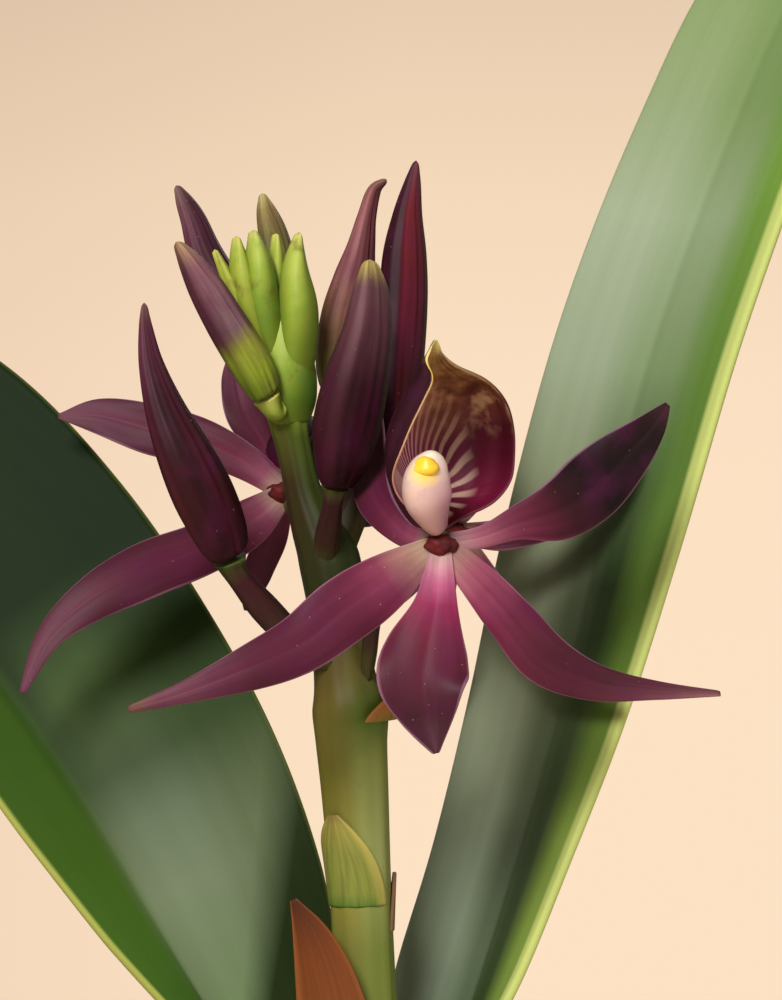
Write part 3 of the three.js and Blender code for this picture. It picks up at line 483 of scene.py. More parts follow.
BULB_FURROW = {"lead": 0.12, "middle": 0.2, "old": 0.5}
BULB_SPECK = 2.4
SPECKS_FROM = {"lead": 0.66, "middle": 0.58, "old": 0.58}


def furrowed(bulb, depth):
    surface = skin(**bulb)

    def wrinkled(t, angle):
        ridge = noise.noise(Vector((math.cos(angle) * 5, math.sin(angle) * 5, t * 1.6)))
        return surface(t, angle, depth * ridge * math.sin(math.pi * t))
    return wrinkled


def drawn_grain(tree, uv_map, across, lengthwise, detail, roughness=0.5):
    """Noise drawn out along the piece, with so many grains across its map and along it."""
    drawn = node(tree, "Mapping", {"Vector": uv_map, "Scale": (across, lengthwise, 1)})
    return node(tree, "TexNoise", {"Vector": drawn, "Scale": 1, "Detail": detail, "Roughness": roughness})


for name, bulb in bulbs.items():
    piece = rolled(f"pseudobulb_{name}_flesh", furrowed(bulb, BULB_FURROW[name]), bulb["spine"], 84, 64)
    # Bulb skin: a tough waxy green rind, yellower with age, finely veined along its length and
    # specked brown, with a low shine.
    rind, tree, shader = fresh_finish(f"pseudobulb_rind_{name}")
    place = node(tree, "TexCoord").outputs["Object"]
    uv_map, uv = piece_map(tree)
    tone = node(tree, "ValToRGB", {"Fac": uv.outputs["Y"]}, stops=bulb_tones[name])
    veins = drawn_grain(tree, uv_map, 70, 3, 4)
    veined = glazed(tree, tone, "#4f6a2b", veins, [(0.4, 0), (0.7, 0.45)])
    specks = node(tree, "TexNoise", {"Vector": place, "Scale": 1 / (BULB_SPECK * MM), "Detail": 8})
    specked = glazed(tree, veined, "#5e4426", specks,
                     [(SPECKS_FROM[name], 0), (SPECKS_FROM[name] + 0.07, 0.7)])
    surfaced(tree, shader, specked, roughness=0.42, relief=veins, strength=0.3, depth=0.3)
    piece.data.materials.append(rind)
    stands_for(piece, f"pseudobulb_{name}")

# Dry sheaths wrap the foot of each bulb. Each is one papery leaf base, split open on one side,
# standing a little off the bulb and running up to a frayed point.
PAPER = 0.45
PAPER_FRAY = 0.05
PAPER_CREASE = 0.22
SHEATH_TAPER = 0.92


def thickened(piece, thick, outside=0, rim=0):
    """A strip given its wall and rounded. Outside and rim say which material those faces take."""
    wall = piece.modifiers.new("thickness", "SOLIDIFY")
    wall.thickness = thick * MM
    wall.offset = 0
    wall.material_offset = outside
    wall.material_offset_rim = rim
    rounding = piece.modifiers.new("rounding", "SUBSURF")
    rounding.levels = 1
    rounding.render_levels = 1
    apply_modifiers(piece)


def sheath(on, start, end, facing, span, off, rise=1.5):
    surface = skin(**{**on, "rib_depth": 0})

    def wrap(t, u):
        taper = span * (1 - SHEATH_TAPER * t ** 1.6)
        return surface(start + (end - start) * t, facing + u * taper, off + rise * t)
    return wrap


def frayed(wrap, seed):
    def torn(t, u):
        fray = PAPER_FRAY * noise.noise(Vector((u * 9, seed, 0))) * t
        crease = PAPER_CREASE * noise.noise(Vector((u * 14, t * 2, seed + 5)))
        return wrap(min(t * (1 + fray), 1), u) + Vector((crease, crease, 0))
    return torn


bulb_sheaths = {
    "lead_front": ("lead", 0.1, 0.62, 1.2, 1.25, 1.1),
    "lead_back": ("lead", 0.09, 0.5, -1.9, 1.25, 1.1),
    "middle_front": ("middle", 0.12, 0.6, 1.7, 1.3, 1.2),
    "old_front": ("old", 0.12, 0.7, 1.5, 1.2, 1.3),
}

# Dried leaf sheath: straw-brown paper, ribbed with the old veins, darker towards its torn end.
sheath_paper, tree, shader = fresh_finish("dried_leaf_sheath")
uv_map, uv = piece_map(tree)
straw = node(tree, "ValToRGB", {"Fac": uv.outputs["Y"]},
             stops=[(0, "#8c6f42"), (0.3, "#b39a69"), (0.75, "#a98a58"), (1, "#6e4f30")])
ribs = drawn_grain(tree, uv_map, 42, 2.2, 5)
ribbed = glazed(tree, straw, "#6f5230", ribs, [(0.42, 0), (0.62, 0.75)])
surfaced(tree, shader, ribbed, roughness=0.75, relief=ribs, strength=0.6, depth=0.3)
for seed, (name, (bulb, *wrap)) in enumerate(bulb_sheaths.items()):
    piece = strip(f"sheath_{name}_paper", frayed(sheath(bulbs[bulb], *wrap), seed), 36, 28)
    thickened(piece, PAPER)
    piece.data.materials.append(sheath_paper)
    stands_for(piece, f"sheath_{name}")

# Four strap leaves, leathery and folded along the midrib: two stand up beside the flowers from the
# lead bulb, and two arch out low over the rim from the middle bulb.
LEAF_THICKNESS = 1.1
LEAF_VEINS = 34
LEAF_VEIN = 0.036
LEAF_SWAY = 0.9
MIDRIB = 0.4
MIDRIB_SHARE = 0.04
FULL_RELIEF_WIDTH = 30


def blade(spine, face, cup=(0,), keel=(0,), crease=(0, 0)):
    """The surface of a strap along a spine. Face is the way it looks, and cup and keel its bend."""
    bends = [[[depth] for depth in run] for run in (cup, keel)]

    def surface(t, u):
        x, y, z, width = along(spine, t)
        forward = heading(spine, t)
        look = Vector(along(face, t))
        normal = (look - forward * look.dot(forward)).normalized()
        right = forward.cross(normal)
        cupped, keeled = [along(run, t)[0] for run in bends]
        fold = crease[0] + crease[1] * t
        lift = width * (cupped * u ** 2 + keeled * abs(u - fold))
        return Vector((x, y, z)) + right * u * width / 2 + normal * lift
    return surface


def two_tone(tree, uv, dark, light, across):
    """Two runs of colour from foot to tip, and how much of the lighter one shows across."""
    low = node(tree, "ValToRGB", {"Fac": uv.outputs["Y"]}, stops=dark)
    high = node(tree, "ValToRGB", {"Fac": uv.outputs["Y"]}, stops=light)
    return glazed(tree, low, high, uv.outputs["X"], across)


leaves = {
    "left": {
        "spine": [[-4.6, 2.4, 165, 11], [-6.2, 4, 174, 13], [-9, 6, 181.6, 16.5], [-12.6, 7.5, 189.3, 21],
                  [-17.2, 9, 200.4, 27.4], [-23.4, 12, 213, 31.5], [-31.3, 15, 225.8, 33.5],
                  [-41.2, 19, 239.2, 34.4], [-52.6, 23, 251.8, 33], [-65.5, 27, 262, 27],
                  [-78.5, 31, 270, 18.5], [-89.5, 34, 274.5, 8], [-95, 36, 276, 0.8]],
        "face": [[0.9, -0.45, 0], [0.75, -0.65, 0], [0.35, -0.93, 0.1], [0.2, -0.95, 0.2],
                 [0.1, -0.9, 0.35], [0, -0.8, 0.5]],
        "keel": [0.36, 0.26, 0.12, 0.08, 0.06, 0.04],
        "crease": (-0.4, -0.15),
    },
    "right": {
        "spine": [[10.4, 3.4, 165, 11], [11.2, 6, 174, 13.5], [12.4, 8.5, 182.5, 17.5],
                  [15.1, 10.5, 190, 22], [19.8, 13, 204.5, 24], [25, 16, 222, 27.6], [30.3, 19, 243, 31],
                  [36, 22, 263.5, 32.5], [41.8, 25, 280, 33], [47.6, 28, 294.5, 32],
                  [54.4, 31, 309.5, 30], [62, 35, 322, 24], [70.5, 39, 332, 16], [77, 42.5, 338, 7],
                  [80, 44, 340, 0.8]],
        "face": [[-0.9, -0.43, 0], [-0.8, -0.58, 0.1], [-0.74, -0.62, 0.25], [-0.74, -0.6, 0.3],
                 [-0.66, -0.62, 0.42], [-0.5, -0.6, 0.6]],
        "keel": [0.36, 0.2, 0.08, 0.06, 0.05, 0.03],
    },
    "low_left": {
        "spine": [[-28.6, 5.6, 147.8, 6], [-37, 11, 162, 13], [-52, 19, 174, 22], [-74, 29, 174, 26],
                  [-94, 37, 158, 23], [-106, 42, 136, 14], [-110, 44, 122, 0.8]],
        "face": [[0.7, -0.2, 0.7], [0.3, -0.1, 1], [0, 0, 1], [-0.5, 0.1, 0.9]],
        "keel": [0.3, 0.12, 0.08],
    },
    "low_front": {
        "spine": [[-24.4, 1.4, 147.8, 6], [-29, -11, 164, 13], [-38, -30, 176, 21], [-48, -54, 176, 24],
                  [-56, -76, 160, 21], [-61, -91, 138, 13], [-63, -97, 124, 0.8]],
        "face": [[0.2, 0.7, 0.7], [0.1, 0.3, 1], [0, 0, 1], [-0.2, -0.5, 0.9]],
        "keel": [0.3, 0.12, 0.08],
    },
}
# In a leaf's look, tones and band run from foot to tip. The tones hold painted light and shade:
# lighter satin where light lies along the blade, darker where it turns away or lies in a flower's
# shadow. Spans are read across it, and shade paints shade on the flank turned from the light.
low_leaf_look = {
    "tones": {
        "dark": [(0, "#3f5526"), (0.4, "#2f4a1f"), (1, "#3d5526")],
        "light": [(0, "#6f8548"), (0.5, "#5c7a40"), (1, "#6d8446")],
        "across": [(0, 0.4), (0.3, 0.8), (0.5, 0.3), (0.7, 0.8), (1, 0.4)]},
    "band": [(0, "#86a050"), (1, "#86a050")],
    "band_span": [(0.47, 0), (0.5, 0.8), (0.53, 0)],
    "edge": "#a9bd52",
    "edge_span": [(0, 1), (0.02, 0), (0.98, 0), (1, 1)],
    "shade": [(0, 0), (1, 0)],
}
leaf_looks = {
    "left": {
        "tones": {
            "dark": [(0.2, "#5a6644"), (0.35, "#667252"), (0.4, "#525e3c"), (0.44, "#324420"),
                     (0.52, "#122206"), (0.7, "#0e2203"), (1, "#142a06")],
            "light": [(0.25, "#74885f"), (0.35, "#758265"), (0.4, "#66745a"), (0.44, "#445236"),
                      (0.5, "#44582e"), (0.56, "#142606"), (1, "#142a06")],
            "across": [(0.24, 0.0), (0.4, 0.9), (0.55, 1), (0.7, 0.5), (0.9, 0.1)]},
        "band": [(0.3, "#466824"), (0.4, "#3e5b1c"), (0.55, "#38531c")],
        "band_span": [(0.22, 1), (0.31, 0)],
        "edge": "#a6aa50",
        "edge_span": [(0, 1), (0.01, 0.9), (0.022, 0), (0.985, 0), (1, 0.3)],
        "shade": [(0.6, 0), (0.78, 0.95)],
    },
    "right": {
        "tones": {
            "dark": [(0.2, "#36461f"), (0.3, "#445137"), (0.36, "#4c5d38"), (0.41, "#26331a"),
                     (0.45, "#465834"), (0.5, "#7c9164"), (0.58, "#93a47d"), (0.65, "#7a925a"),
                     (1, "#728a4e")],
            "light": [(0.22, "#84907a"), (0.29, "#96a289"), (0.35, "#acb798"), (0.4, "#8a9175"),
                      (0.45, "#868f70"), (0.5, "#9ca88c"), (0.58, "#a6b294"), (0.65, "#95a57a"),
                      (0.75, "#869b60")],
            "across": [(0.0, 0.85), (0.12, 1), (0.3, 0.9), (0.42, 0.3), (0.6, 0.0)]},
        "band": [(0.2, "#7c9440"), (0.3, "#8aa248"), (0.36, "#6a8636"), (0.46, "#5c7a35"),
                 (0.6, "#71953e")],
        "band_span": [(0.68, 0), (0.86, 1)],
        "edge": "#bfca72",
        "edge_span": [(0, 0.3), (0.02, 0), (0.93, 0), (0.955, 1)],
        "shade": [(0, 0), (1, 0)],
    },
    "low_left": low_leaf_look,
    "low_front": low_leaf_look,
}
SHADE_LEAN = -3
SHADE_SHIFT = 0.9


def veined_strap(leaf, seed):
    surface = blade(**leaf)

    def lay(t, u):
        sway = LEAF_SWAY * u * abs(u) * noise.noise(Vector((t * 5, seed, u)))
        vein = LEAF_VEIN * math.cos(u * LEAF_VEINS) * (1 - t) ** 0.5
        fold = leaf.get("crease", (0, 0))
        middle = MIDRIB * math.exp(-((u - fold[0] - fold[1] * t) / MIDRIB_SHARE) ** 2)
        relief_share = min(along(leaf["spine"], t)[3] / FULL_RELIEF_WIDTH, 1)
        return surface(t, u) + Vector((0, 1, 0)) * (sway + vein + middle) * relief_share
    return lay


for seed, (name, leaf) in enumerate(leaves.items()):
    piece = strip(f"leaf_{name}_strap", veined_strap(leaf, seed), 110, 36)
    thickened(piece, LEAF_THICKNESS)
    look = leaf_looks[name]
    # Leaf skin: deep green, satin and leathery, greyed by painted highlight where light lies along it,
    # with painted shade where it turns from the light, streaks of painted sheen, fine veins running its
    # whole length, a fresher band on one flank or along the fold, and a pale bare edge.
    leaf_skin, tree, shader = fresh_finish(f"leaf_skin_{name}")
    uv_map, uv = piece_map(tree)
    green = two_tone(tree, uv, **look["tones"])
    fresh = node(tree, "ValToRGB", {"Fac": uv.outputs["Y"]}, stops=look["band"])
    banded = glazed(tree, green, fresh, uv.outputs["X"], look["band_span"])
    # Painted shade on the flank that turns in towards the stem, away from the light.
    leaning = node(tree, "Math", {0: uv.outputs["Y"], 1: SHADE_LEAN, 2: uv.outputs["X"]},
                   operation="MULTIPLY_ADD")
    turned_in = node(tree, "Math", {0: leaning, 1: SHADE_SHIFT})
    shaded = glazed(tree, banded, "#1d2a0c", turned_in, look["shade"])
    # Painted sheen: pale streaks laid over the green where the satin catches the light.
    painted_sheen_streaks = drawn_grain(tree, uv_map, 11, 0.5, 2)
    with_painted_sheen = glazed(tree, shaded, "#8e9a7a", painted_sheen_streaks, [(0.4, 0), (0.7, 0.16)], blend_type="OVERLAY")
    veins = drawn_grain(tree, uv_map, 46, 0.9, 5, 0.6)
    veined = glazed(tree, with_painted_sheen, "#8fae7c", veins, [(0.42, 0), (0.7, 0.14)], blend_type="SOFT_LIGHT")
    edged = glazed(tree, veined, look["edge"], uv.outputs["X"], look["edge_span"])
    surfaced(tree, shader, edged, roughness=0.52, relief=veins, strength=0.12, depth=0.2, shine=0.07)
    piece.data.materials.append(leaf_skin)
    stands_for(piece, f"leaf_{name}")

# The flower stem grows from the lead bulb, thickened at its node, and carries a stalk for each
# flower and bud. It is round, fleshy and finely ridged.
stem_spine = [
    [3, 0, 165.4, 8.4], [2.6, 0, 177, 7.9], [2, 0, 191, 7.2], [1.5, 0, 203.5, 7],
    [0.9, 0, 214, 7.6], [0.5, 0, 220, 8.1], [0.3, 0, 224.2, 8.6], [-0.3, 0, 228, 7],
    [-1.1, 0, 234.5, 6.4], [-2, 0, 241, 7], [-3.6, 0, 245, 5.6], [-5, 0, 249, 4.2],
    [-6, 0, 253.5, 3.9], [-7, -0.3, 258.3, 4.6]]
bud_spines = {
    "front": [[-1.2, -8, 249.6, 3.6], [-0.8, -9, 252, 5.8], [-0.3, -10, 256, 7.5], [0.8, -11, 261, 7.2],
              [2.1, -11.5, 266.5, 5.6], [2.6, -11, 271, 4.1], [2.6, -10, 274.8, 1.5]],
    "tall": [[4.8, 2, 254.5, 3], [5.5, 3, 258.5, 4.4], [5.8, 4, 264, 5.5], [6.2, 5, 271, 5.6],
             [6.4, 5.4, 276.5, 5], [6.8, 5.4, 281, 3.4], [7.4, 5, 284.5, 2], [7.9, 4.5, 287.2, 0.6]],
    "hooked": [[-1.5, 5, 260.5, 3.4], [-1.4, 6, 264, 5], [-0.6, 7, 269, 5.6], [0.5, 8, 273.5, 4.9],
               [1.4, 8.5, 277.5, 3.3], [2.1, 8.5, 281, 2.2], [3, 8, 284, 1.6], [4.5, 7, 285.2, 0.6]],
    "left": [[-13, -9, 241.5, 4.4], [-14.3, -10, 244.5, 6.2], [-16.1, -11, 248.5, 6.9],
             [-18.1, -12, 253, 6.2], [-20.2, -12, 258, 4.5], [-21.7, -11.5, 263, 2.8],
             [-22.3, -11, 267, 1.6], [-22.5, -10, 270, 0.6]],
    "upper_left": [[-9, -4.8, 259.8, 3.7], [-10.4, -6, 262.4, 4.7], [-12.2, -7, 265.4, 4.8],
                   [-14, -8, 268.4, 4.5], [-15.8, -8.8, 271.6, 4], [-17.5, -9.3, 274.5, 2.7],
                   [-19, -9.4, 276.8, 0.9]],
    "rear_left": [[-11.5, 5, 267, 2.8], [-13, 6, 270.5, 3.9], [-15.3, 7, 274, 4.2], [-16.9, 8, 277, 3.9],
                  [-18.1, 8.5, 280.5, 3], [-19.1, 8.5, 282.7, 2.1], [-20, 8, 284.6, 0.7]],
    "rear": [[-7, 5, 271, 2.8], [-7.6, 6, 274, 3.7], [-8.4, 6.5, 277, 3.7], [-9, 7, 279.5, 3.2],
             [-9.6, 7, 281.7, 2.2], [-10, 7, 283.6, 0.7]],
}


def foot_of(bud):
    """The last two rows of a stalk, which run into the foot of its bud."""
    return [[*(Vector(bud[0][:3]) - heading(bud, 0) * down), bud[0][3] * share]
            for down, share in ((2.2, 0.6), (0.0, 0.9))]


stalks = {
    "front_bloom": [[2, -1, 225.5, 0.9], [2.5, -3.2, 230.5, 1.7], [3.2, -6.5, 235.2, 1.8],
                    [5.6, -11, 239.6, 2], [9.7, -15.4, 242.3, 2.4]],
    "side_bloom": [[-2, 1, 239.5, 2.2], [-4.6, 4, 243.5, 2.1], [-5.8, 6.2, 246.4, 2.2],
                   [-6.5, 7.4, 247.9, 2.2]],
    "rear_bloom": [[-1, 1, 235, 2.2], [3.5, 5, 238, 2.1], [8.5, 9.5, 241, 2.2], [12, 12.8, 243.4, 2.8]],
    "front": [[-2.7, -0.8, 240.5, 3], [-2.2, -3.6, 243.6, 3], *foot_of(bud_spines["front"])],
    "tall": [[-1.6, 0.4, 240, 3], [0.4, 1, 246, 3.6], [2.7, 1.5, 250.5, 3], *foot_of(bud_spines["tall"])],
    "hooked": [[-5, 0.6, 248.6, 2.2], [-3.3, 3.4, 254.4, 2.4], *foot_of(bud_spines["hooked"])],
    "left": [[-0.8, -1, 228.6, 1.6], [-5.5, -5, 232, 3], [-9, -7, 235.6, 3.4], *foot_of(bud_spines["left"])],
}


def ridged(spine, ridges, depth):
    surface = skin(spine)

    def ridge(t, angle):
        return surface(t, angle, depth * math.cos(ridges * angle + 3 * t))
    return ridge


# Stem skin: light green and waxy on the side to the right, olive-brown on the left, darkened high up
# with painted shade where the blooms and buds hang over it, and with soft ridges and small brown flecks.
STEM_FLECK = 1.1
stem_skin, tree, shader = fresh_finish("flower_stem_skin")
uv_map, uv = piece_map(tree)
place = node(tree, "TexCoord").outputs["Object"]
green = two_tone(
    tree, uv,
    dark=[(0, "#6f7431"), (0.19, "#757030"), (0.25, "#8f8830"), (0.36, "#6c6424"), (0.5, "#5e4f20"),
          (0.58, "#4a3f1a"), (0.65, "#2c2e0f"), (0.87, "#35260f"), (0.95, "#4c4a18"), (1, "#6f7a24")],
    light=[(0, "#717d35"), (0.19, "#707c34"), (0.25, "#92985a"), (0.36, "#889149"), (0.44, "#506820"),
           (0.54, "#5c5424"), (0.65, "#252c0c"), (0.85, "#343c10"), (0.95, "#4a581a"), (1, "#849e2e")],
    across=[(0.0, 0.75), (0.12, 1), (0.22, 0.85), (0.28, 0.25), (0.4, 0.0), (0.5, 0.1), (0.85, 0.7)])
flecks = node(tree, "TexNoise", {"Vector": place, "Scale": 1 / (STEM_FLECK * MM), "Detail": 8})
flecked = glazed(tree, green, "#5c3d22", flecks, [(0.64, 0), (0.78, 0.35)])
grain = drawn_grain(tree, uv_map, 26, 8, 4)
surfaced(tree, shader, flecked, roughness=0.5, relief=grain, strength=0.25, depth=0.2, shine=0.2)

# Stalk skin: maroon-brown towards the flower, green at the foot.
stalk_skin, tree, shader = fresh_finish("flower_stalk_skin")
uv_map, uv = piece_map(tree)
run = node(tree, "ValToRGB", {"Fac": uv.outputs["Y"]},
           stops=[(0, "#4a5420"), (0.35, "#3a2518"), (0.7, "#3c151c"), (1, "#4c5a22")])
grain = drawn_grain(tree, uv_map, 16, 5, 4)
grained = glazed(tree, run, "#34131c", grain, [(0.45, 0), (0.7, 0.5)])
surfaced(tree, shader, grained, roughness=0.5, relief=grain, strength=0.3, depth=0.2, shine=0.2)

stem_parts = [rolled("stem", ridged(stem_spine, 9, 0.07), stem_spine, 54, 150, 0.012)]
stem_parts[0].data.materials.append(stem_skin)
for name, spine in stalks.items():
    stalk = rolled(f"stalk_{name}", ridged(spine, 5, 0.08), spine, 24, 40)
    stalk.data.materials.append(stalk_skin)
    stem_parts.append(stalk)
flower_stem = join_into_one(stem_parts, "flower_stem_and_stalks")
stands_for(flower_stem, "flower_stem")

# The soft tip of the stem is still growing. It is a thick core with three short stalks, and five
# shoots of buds no bigger than grains, each with three blunt ridges, sunk into it at their feet.
tip_shoots = [
    [[-6.6, -0.3, 256.6, 4.2], [-6.8, -0.6, 260, 6.6], [-7.2, -1.1, 264.5, 6.4], [-8.2, -1.7, 270.5, 2.8]],
    [[-6.8, 0.4, 257.8, 2.6], [-7.7, -1.6, 258.9, 3.4], *foot_of(bud_spines["upper_left"])],
    [[-7.4, 0.4, 260, 2.4], [-9.4, 3.6, 263.5, 2.2], *foot_of(bud_spines["rear_left"])],
    [[-7.2, 0.4, 261, 2.4], [-6.8, 3.8, 266, 2.2], *foot_of(bud_spines["rear"])],
    [[-8.6, -1.6, 262.6, 2.4], [-11.3, -2.8, 268.2, 2.2], [-13, -3.2, 272.2, 1.7], [-15, -3.2, 276.4, 0.5]],
    [[-8.4, -1.6, 262.8, 3.2], [-10.7, -3, 269, 3.4], [-11.9, -3.4, 274, 2.7], [-12.5, -3.2, 277.9, 0.7]],
    [[-7.9, -1.6, 263.4, 3.4], [-9.3, -3.1, 269.6, 3.7], [-9.9, -3.3, 274.6, 3.2], [-10.6, -3, 278.6, 0.8]],
    [[-7.4, -0.6, 264, 2.8], [-7.7, -0.8, 270, 2.6], [-7.9, -0.8, 275, 2], [-8.1, -0.6, 278.4, 0.6]],
    [[-6.4, -0.8, 260.4, 3.6], [-5.7, -2.3, 265, 4.3], [-5.5, -3.1, 269.6, 4.4],
     [-5.8, -3.2, 274, 3.1], [-5.4, -2.6, 278.4, 0.6]],
]
SHOOT_RIPENESS = [0.2, 0.6, 0.2, 0.2, 1, 0.8, 0.35, 0.7, 0.5]

# Young bud skin: fresh yellow-green flesh, with painted shade down between the shoots and on each
# shoot's side away from the light, yellow at the tips, with a brown blush here and there.
YOUNG_MOTTLE = 1.8
YOUNG_BLUSH = 3.1
young_skin, tree, shader = fresh_finish("young_bud_skin")
uv_map, uv = piece_map(tree)
place = node(tree, "TexCoord").outputs["Object"]
green = two_tone(
    tree, uv,
    dark=[(0, "#5a6a16"), (0.3, "#33500c"), (0.6, "#3f5e10"), (0.85, "#6c7e22"), (1, "#a5a23a")],
    light=[(0, "#7c8a2c"), (0.3, "#728c28"), (0.6, "#9cb03e"), (0.85, "#b4c456"), (1, "#dcd480")],
    across=[(0.0, 0.1), (0.1, 0.3), (0.2, 0.8), (0.3, 1), (0.42, 0.5), (0.55, 0.1)])
mottle = node(tree, "TexNoise", {"Vector": place, "Scale": 1 / (YOUNG_MOTTLE * MM), "Detail": 5})
mottled = glazed(tree, green, "#4f8a2a", mottle, [(0.45, 0), (0.7, 0.4)])
ripeness = node(tree, "Attribute", attribute_name="ripeness").outputs["Fac"]
ripened = glazed(tree, mottled, "#b3b23a", ripeness, [(0.2, 0), (1, 0.5)])
blush = node(tree, "TexNoise", {"Vector": place, "Scale": 1 / (YOUNG_BLUSH * MM), "Detail": 4})
blushed = glazed(tree, ripened, "#6a4a20", blush, [(0.6, 0), (0.7, 0.55)])
surfaced(tree, shader, blushed, roughness=0.5, relief=mottle, strength=0.2, depth=0.2, shine=0.25)
shoots = []
for i, (spine, ripe_amount) in enumerate(zip(tip_shoots, SHOOT_RIPENESS)):
    shoot = rolled(f"shoot_{i}", ridged(spine, 3, 0.16), spine, 30, 48)
    shoot.data.materials.append(young_skin)
    ripe = shoot.data.attributes.new("ripeness", "FLOAT", "POINT")
    ripe.data.foreach_set("value", [ripe_amount] * len(shoot.data.vertices))
    shoots.append(shoot)
stem_tip = join_into_one(shoots, "growing_stem_tip")
stands_for(stem_tip, "stem_tip")

# Bracts hug the stem at its nodes: a fresh green one, a dry scrap, and a brown one at the ledge
# below the flowers. A brown spathe stands in front of the stem. All are thin, and run up to a point.
stem_bracts = {
    "low": (0.22, 0.295, 2.2, 1.6, 0, 0.6),
    "dry": (0.2, 0.243, -0.1, 0.5, 0, 0.5),
    "node": (0.435, 0.497, 0.35, 0.9, 0.9),
}
bract_tones = {
    "low": [(0, "#55782a"), (0.14, "#7f8838"), (0.55, "#8c9040"), (0.88, "#a8a04c"), (1, "#9a8446")],
    "dry": [(0, "#8a7148"), (0.5, "#7a5a3a"), (1, "#5d4029")],
    "node": [(0, "#8d7a3a"), (0.4, "#a86a32"), (0.8, "#b5652e"), (1, "#6e3b1f")],
    "spathe": [(0, "#74491f"), (0.35, "#7e441c"), (0.7, "#763c16"), (1, "#4c2410")],
}
dry_edges = {"low": "#c4b25c", "dry": "#6a4a30", "node": "#c07a3c", "spathe": "#9a5a2c"}
stem_shape = {"spine": stem_spine}
spathe = {
    "spine": [[1.5, -5.4, 168, 5.5], [0.5, -6, 178.5, 7.6], [-1, -6.4, 186, 9], [-2.4, -6.6, 193.5, 7.2],
              [-4, -6.8, 199, 4.4], [-6, -7, 203.2, 0.7]],
    "face": [[-0.2, -1, 0]],
    "cup": [-0.2, -0.16, -0.12, -0.1, 0],
}


def bract_finish(name, tones, edge_colour):
    """Bract skin: thin, streaked lengthwise, paler along its dry edges, with a matt to satin face."""
    made, tree, shader = fresh_finish(name)
    uv_map, uv = piece_map(tree)
    run = node(tree, "ValToRGB", {"Fac": uv.outputs["Y"]}, stops=tones)
    streaks = drawn_grain(tree, uv_map, 18, 1.6, 6)
    streaked = glazed(tree, run, "#4a2a1a", streaks, [(0.44, 0), (0.7, 0.4)])
    edged = glazed(tree, streaked, edge_colour, uv.outputs["X"],
                   [(0, 0.8), (0.06, 0.6), (0.16, 0), (0.9, 0), (0.97, 0.4), (1, 0.6)])
    surfaced(tree, shader, edged, roughness=0.55, relief=streaks, strength=0.4, depth=0.3, shine=0.2)
    return made


for name, wrap in stem_bracts.items():
    piece = strip(f"bract_{name}_scale", sheath(stem_shape, *wrap), 28, 18)
    thickened(piece, PAPER)
    piece.data.materials.append(bract_finish(f"bract_skin_{name}", bract_tones[name], dry_edges[name]))
    stands_for(piece, f"stem_bract_{name}")
piece = strip("spathe_scale", blade(**spathe), 44, 18)
thickened(piece, PAPER)
piece.data.materials.append(bract_finish("spathe_skin", bract_tones["spathe"], dry_edges["spathe"]))
stands_for(piece, "spathe")

# Seven buds at all stages. In each, three thick sepals close edge to edge round the flower and
# run out to a soft beak, with a seam where they meet.
SEAM = 0.22
SEAM_WIDTH = 0.16
SEAM_TWIST = 0.35
SEPAL_RIDGE = 0.05
SEPAL_RIDGES = 15
PRICK_SPACING = 1.1
CLOUD_SPACING = 4.2
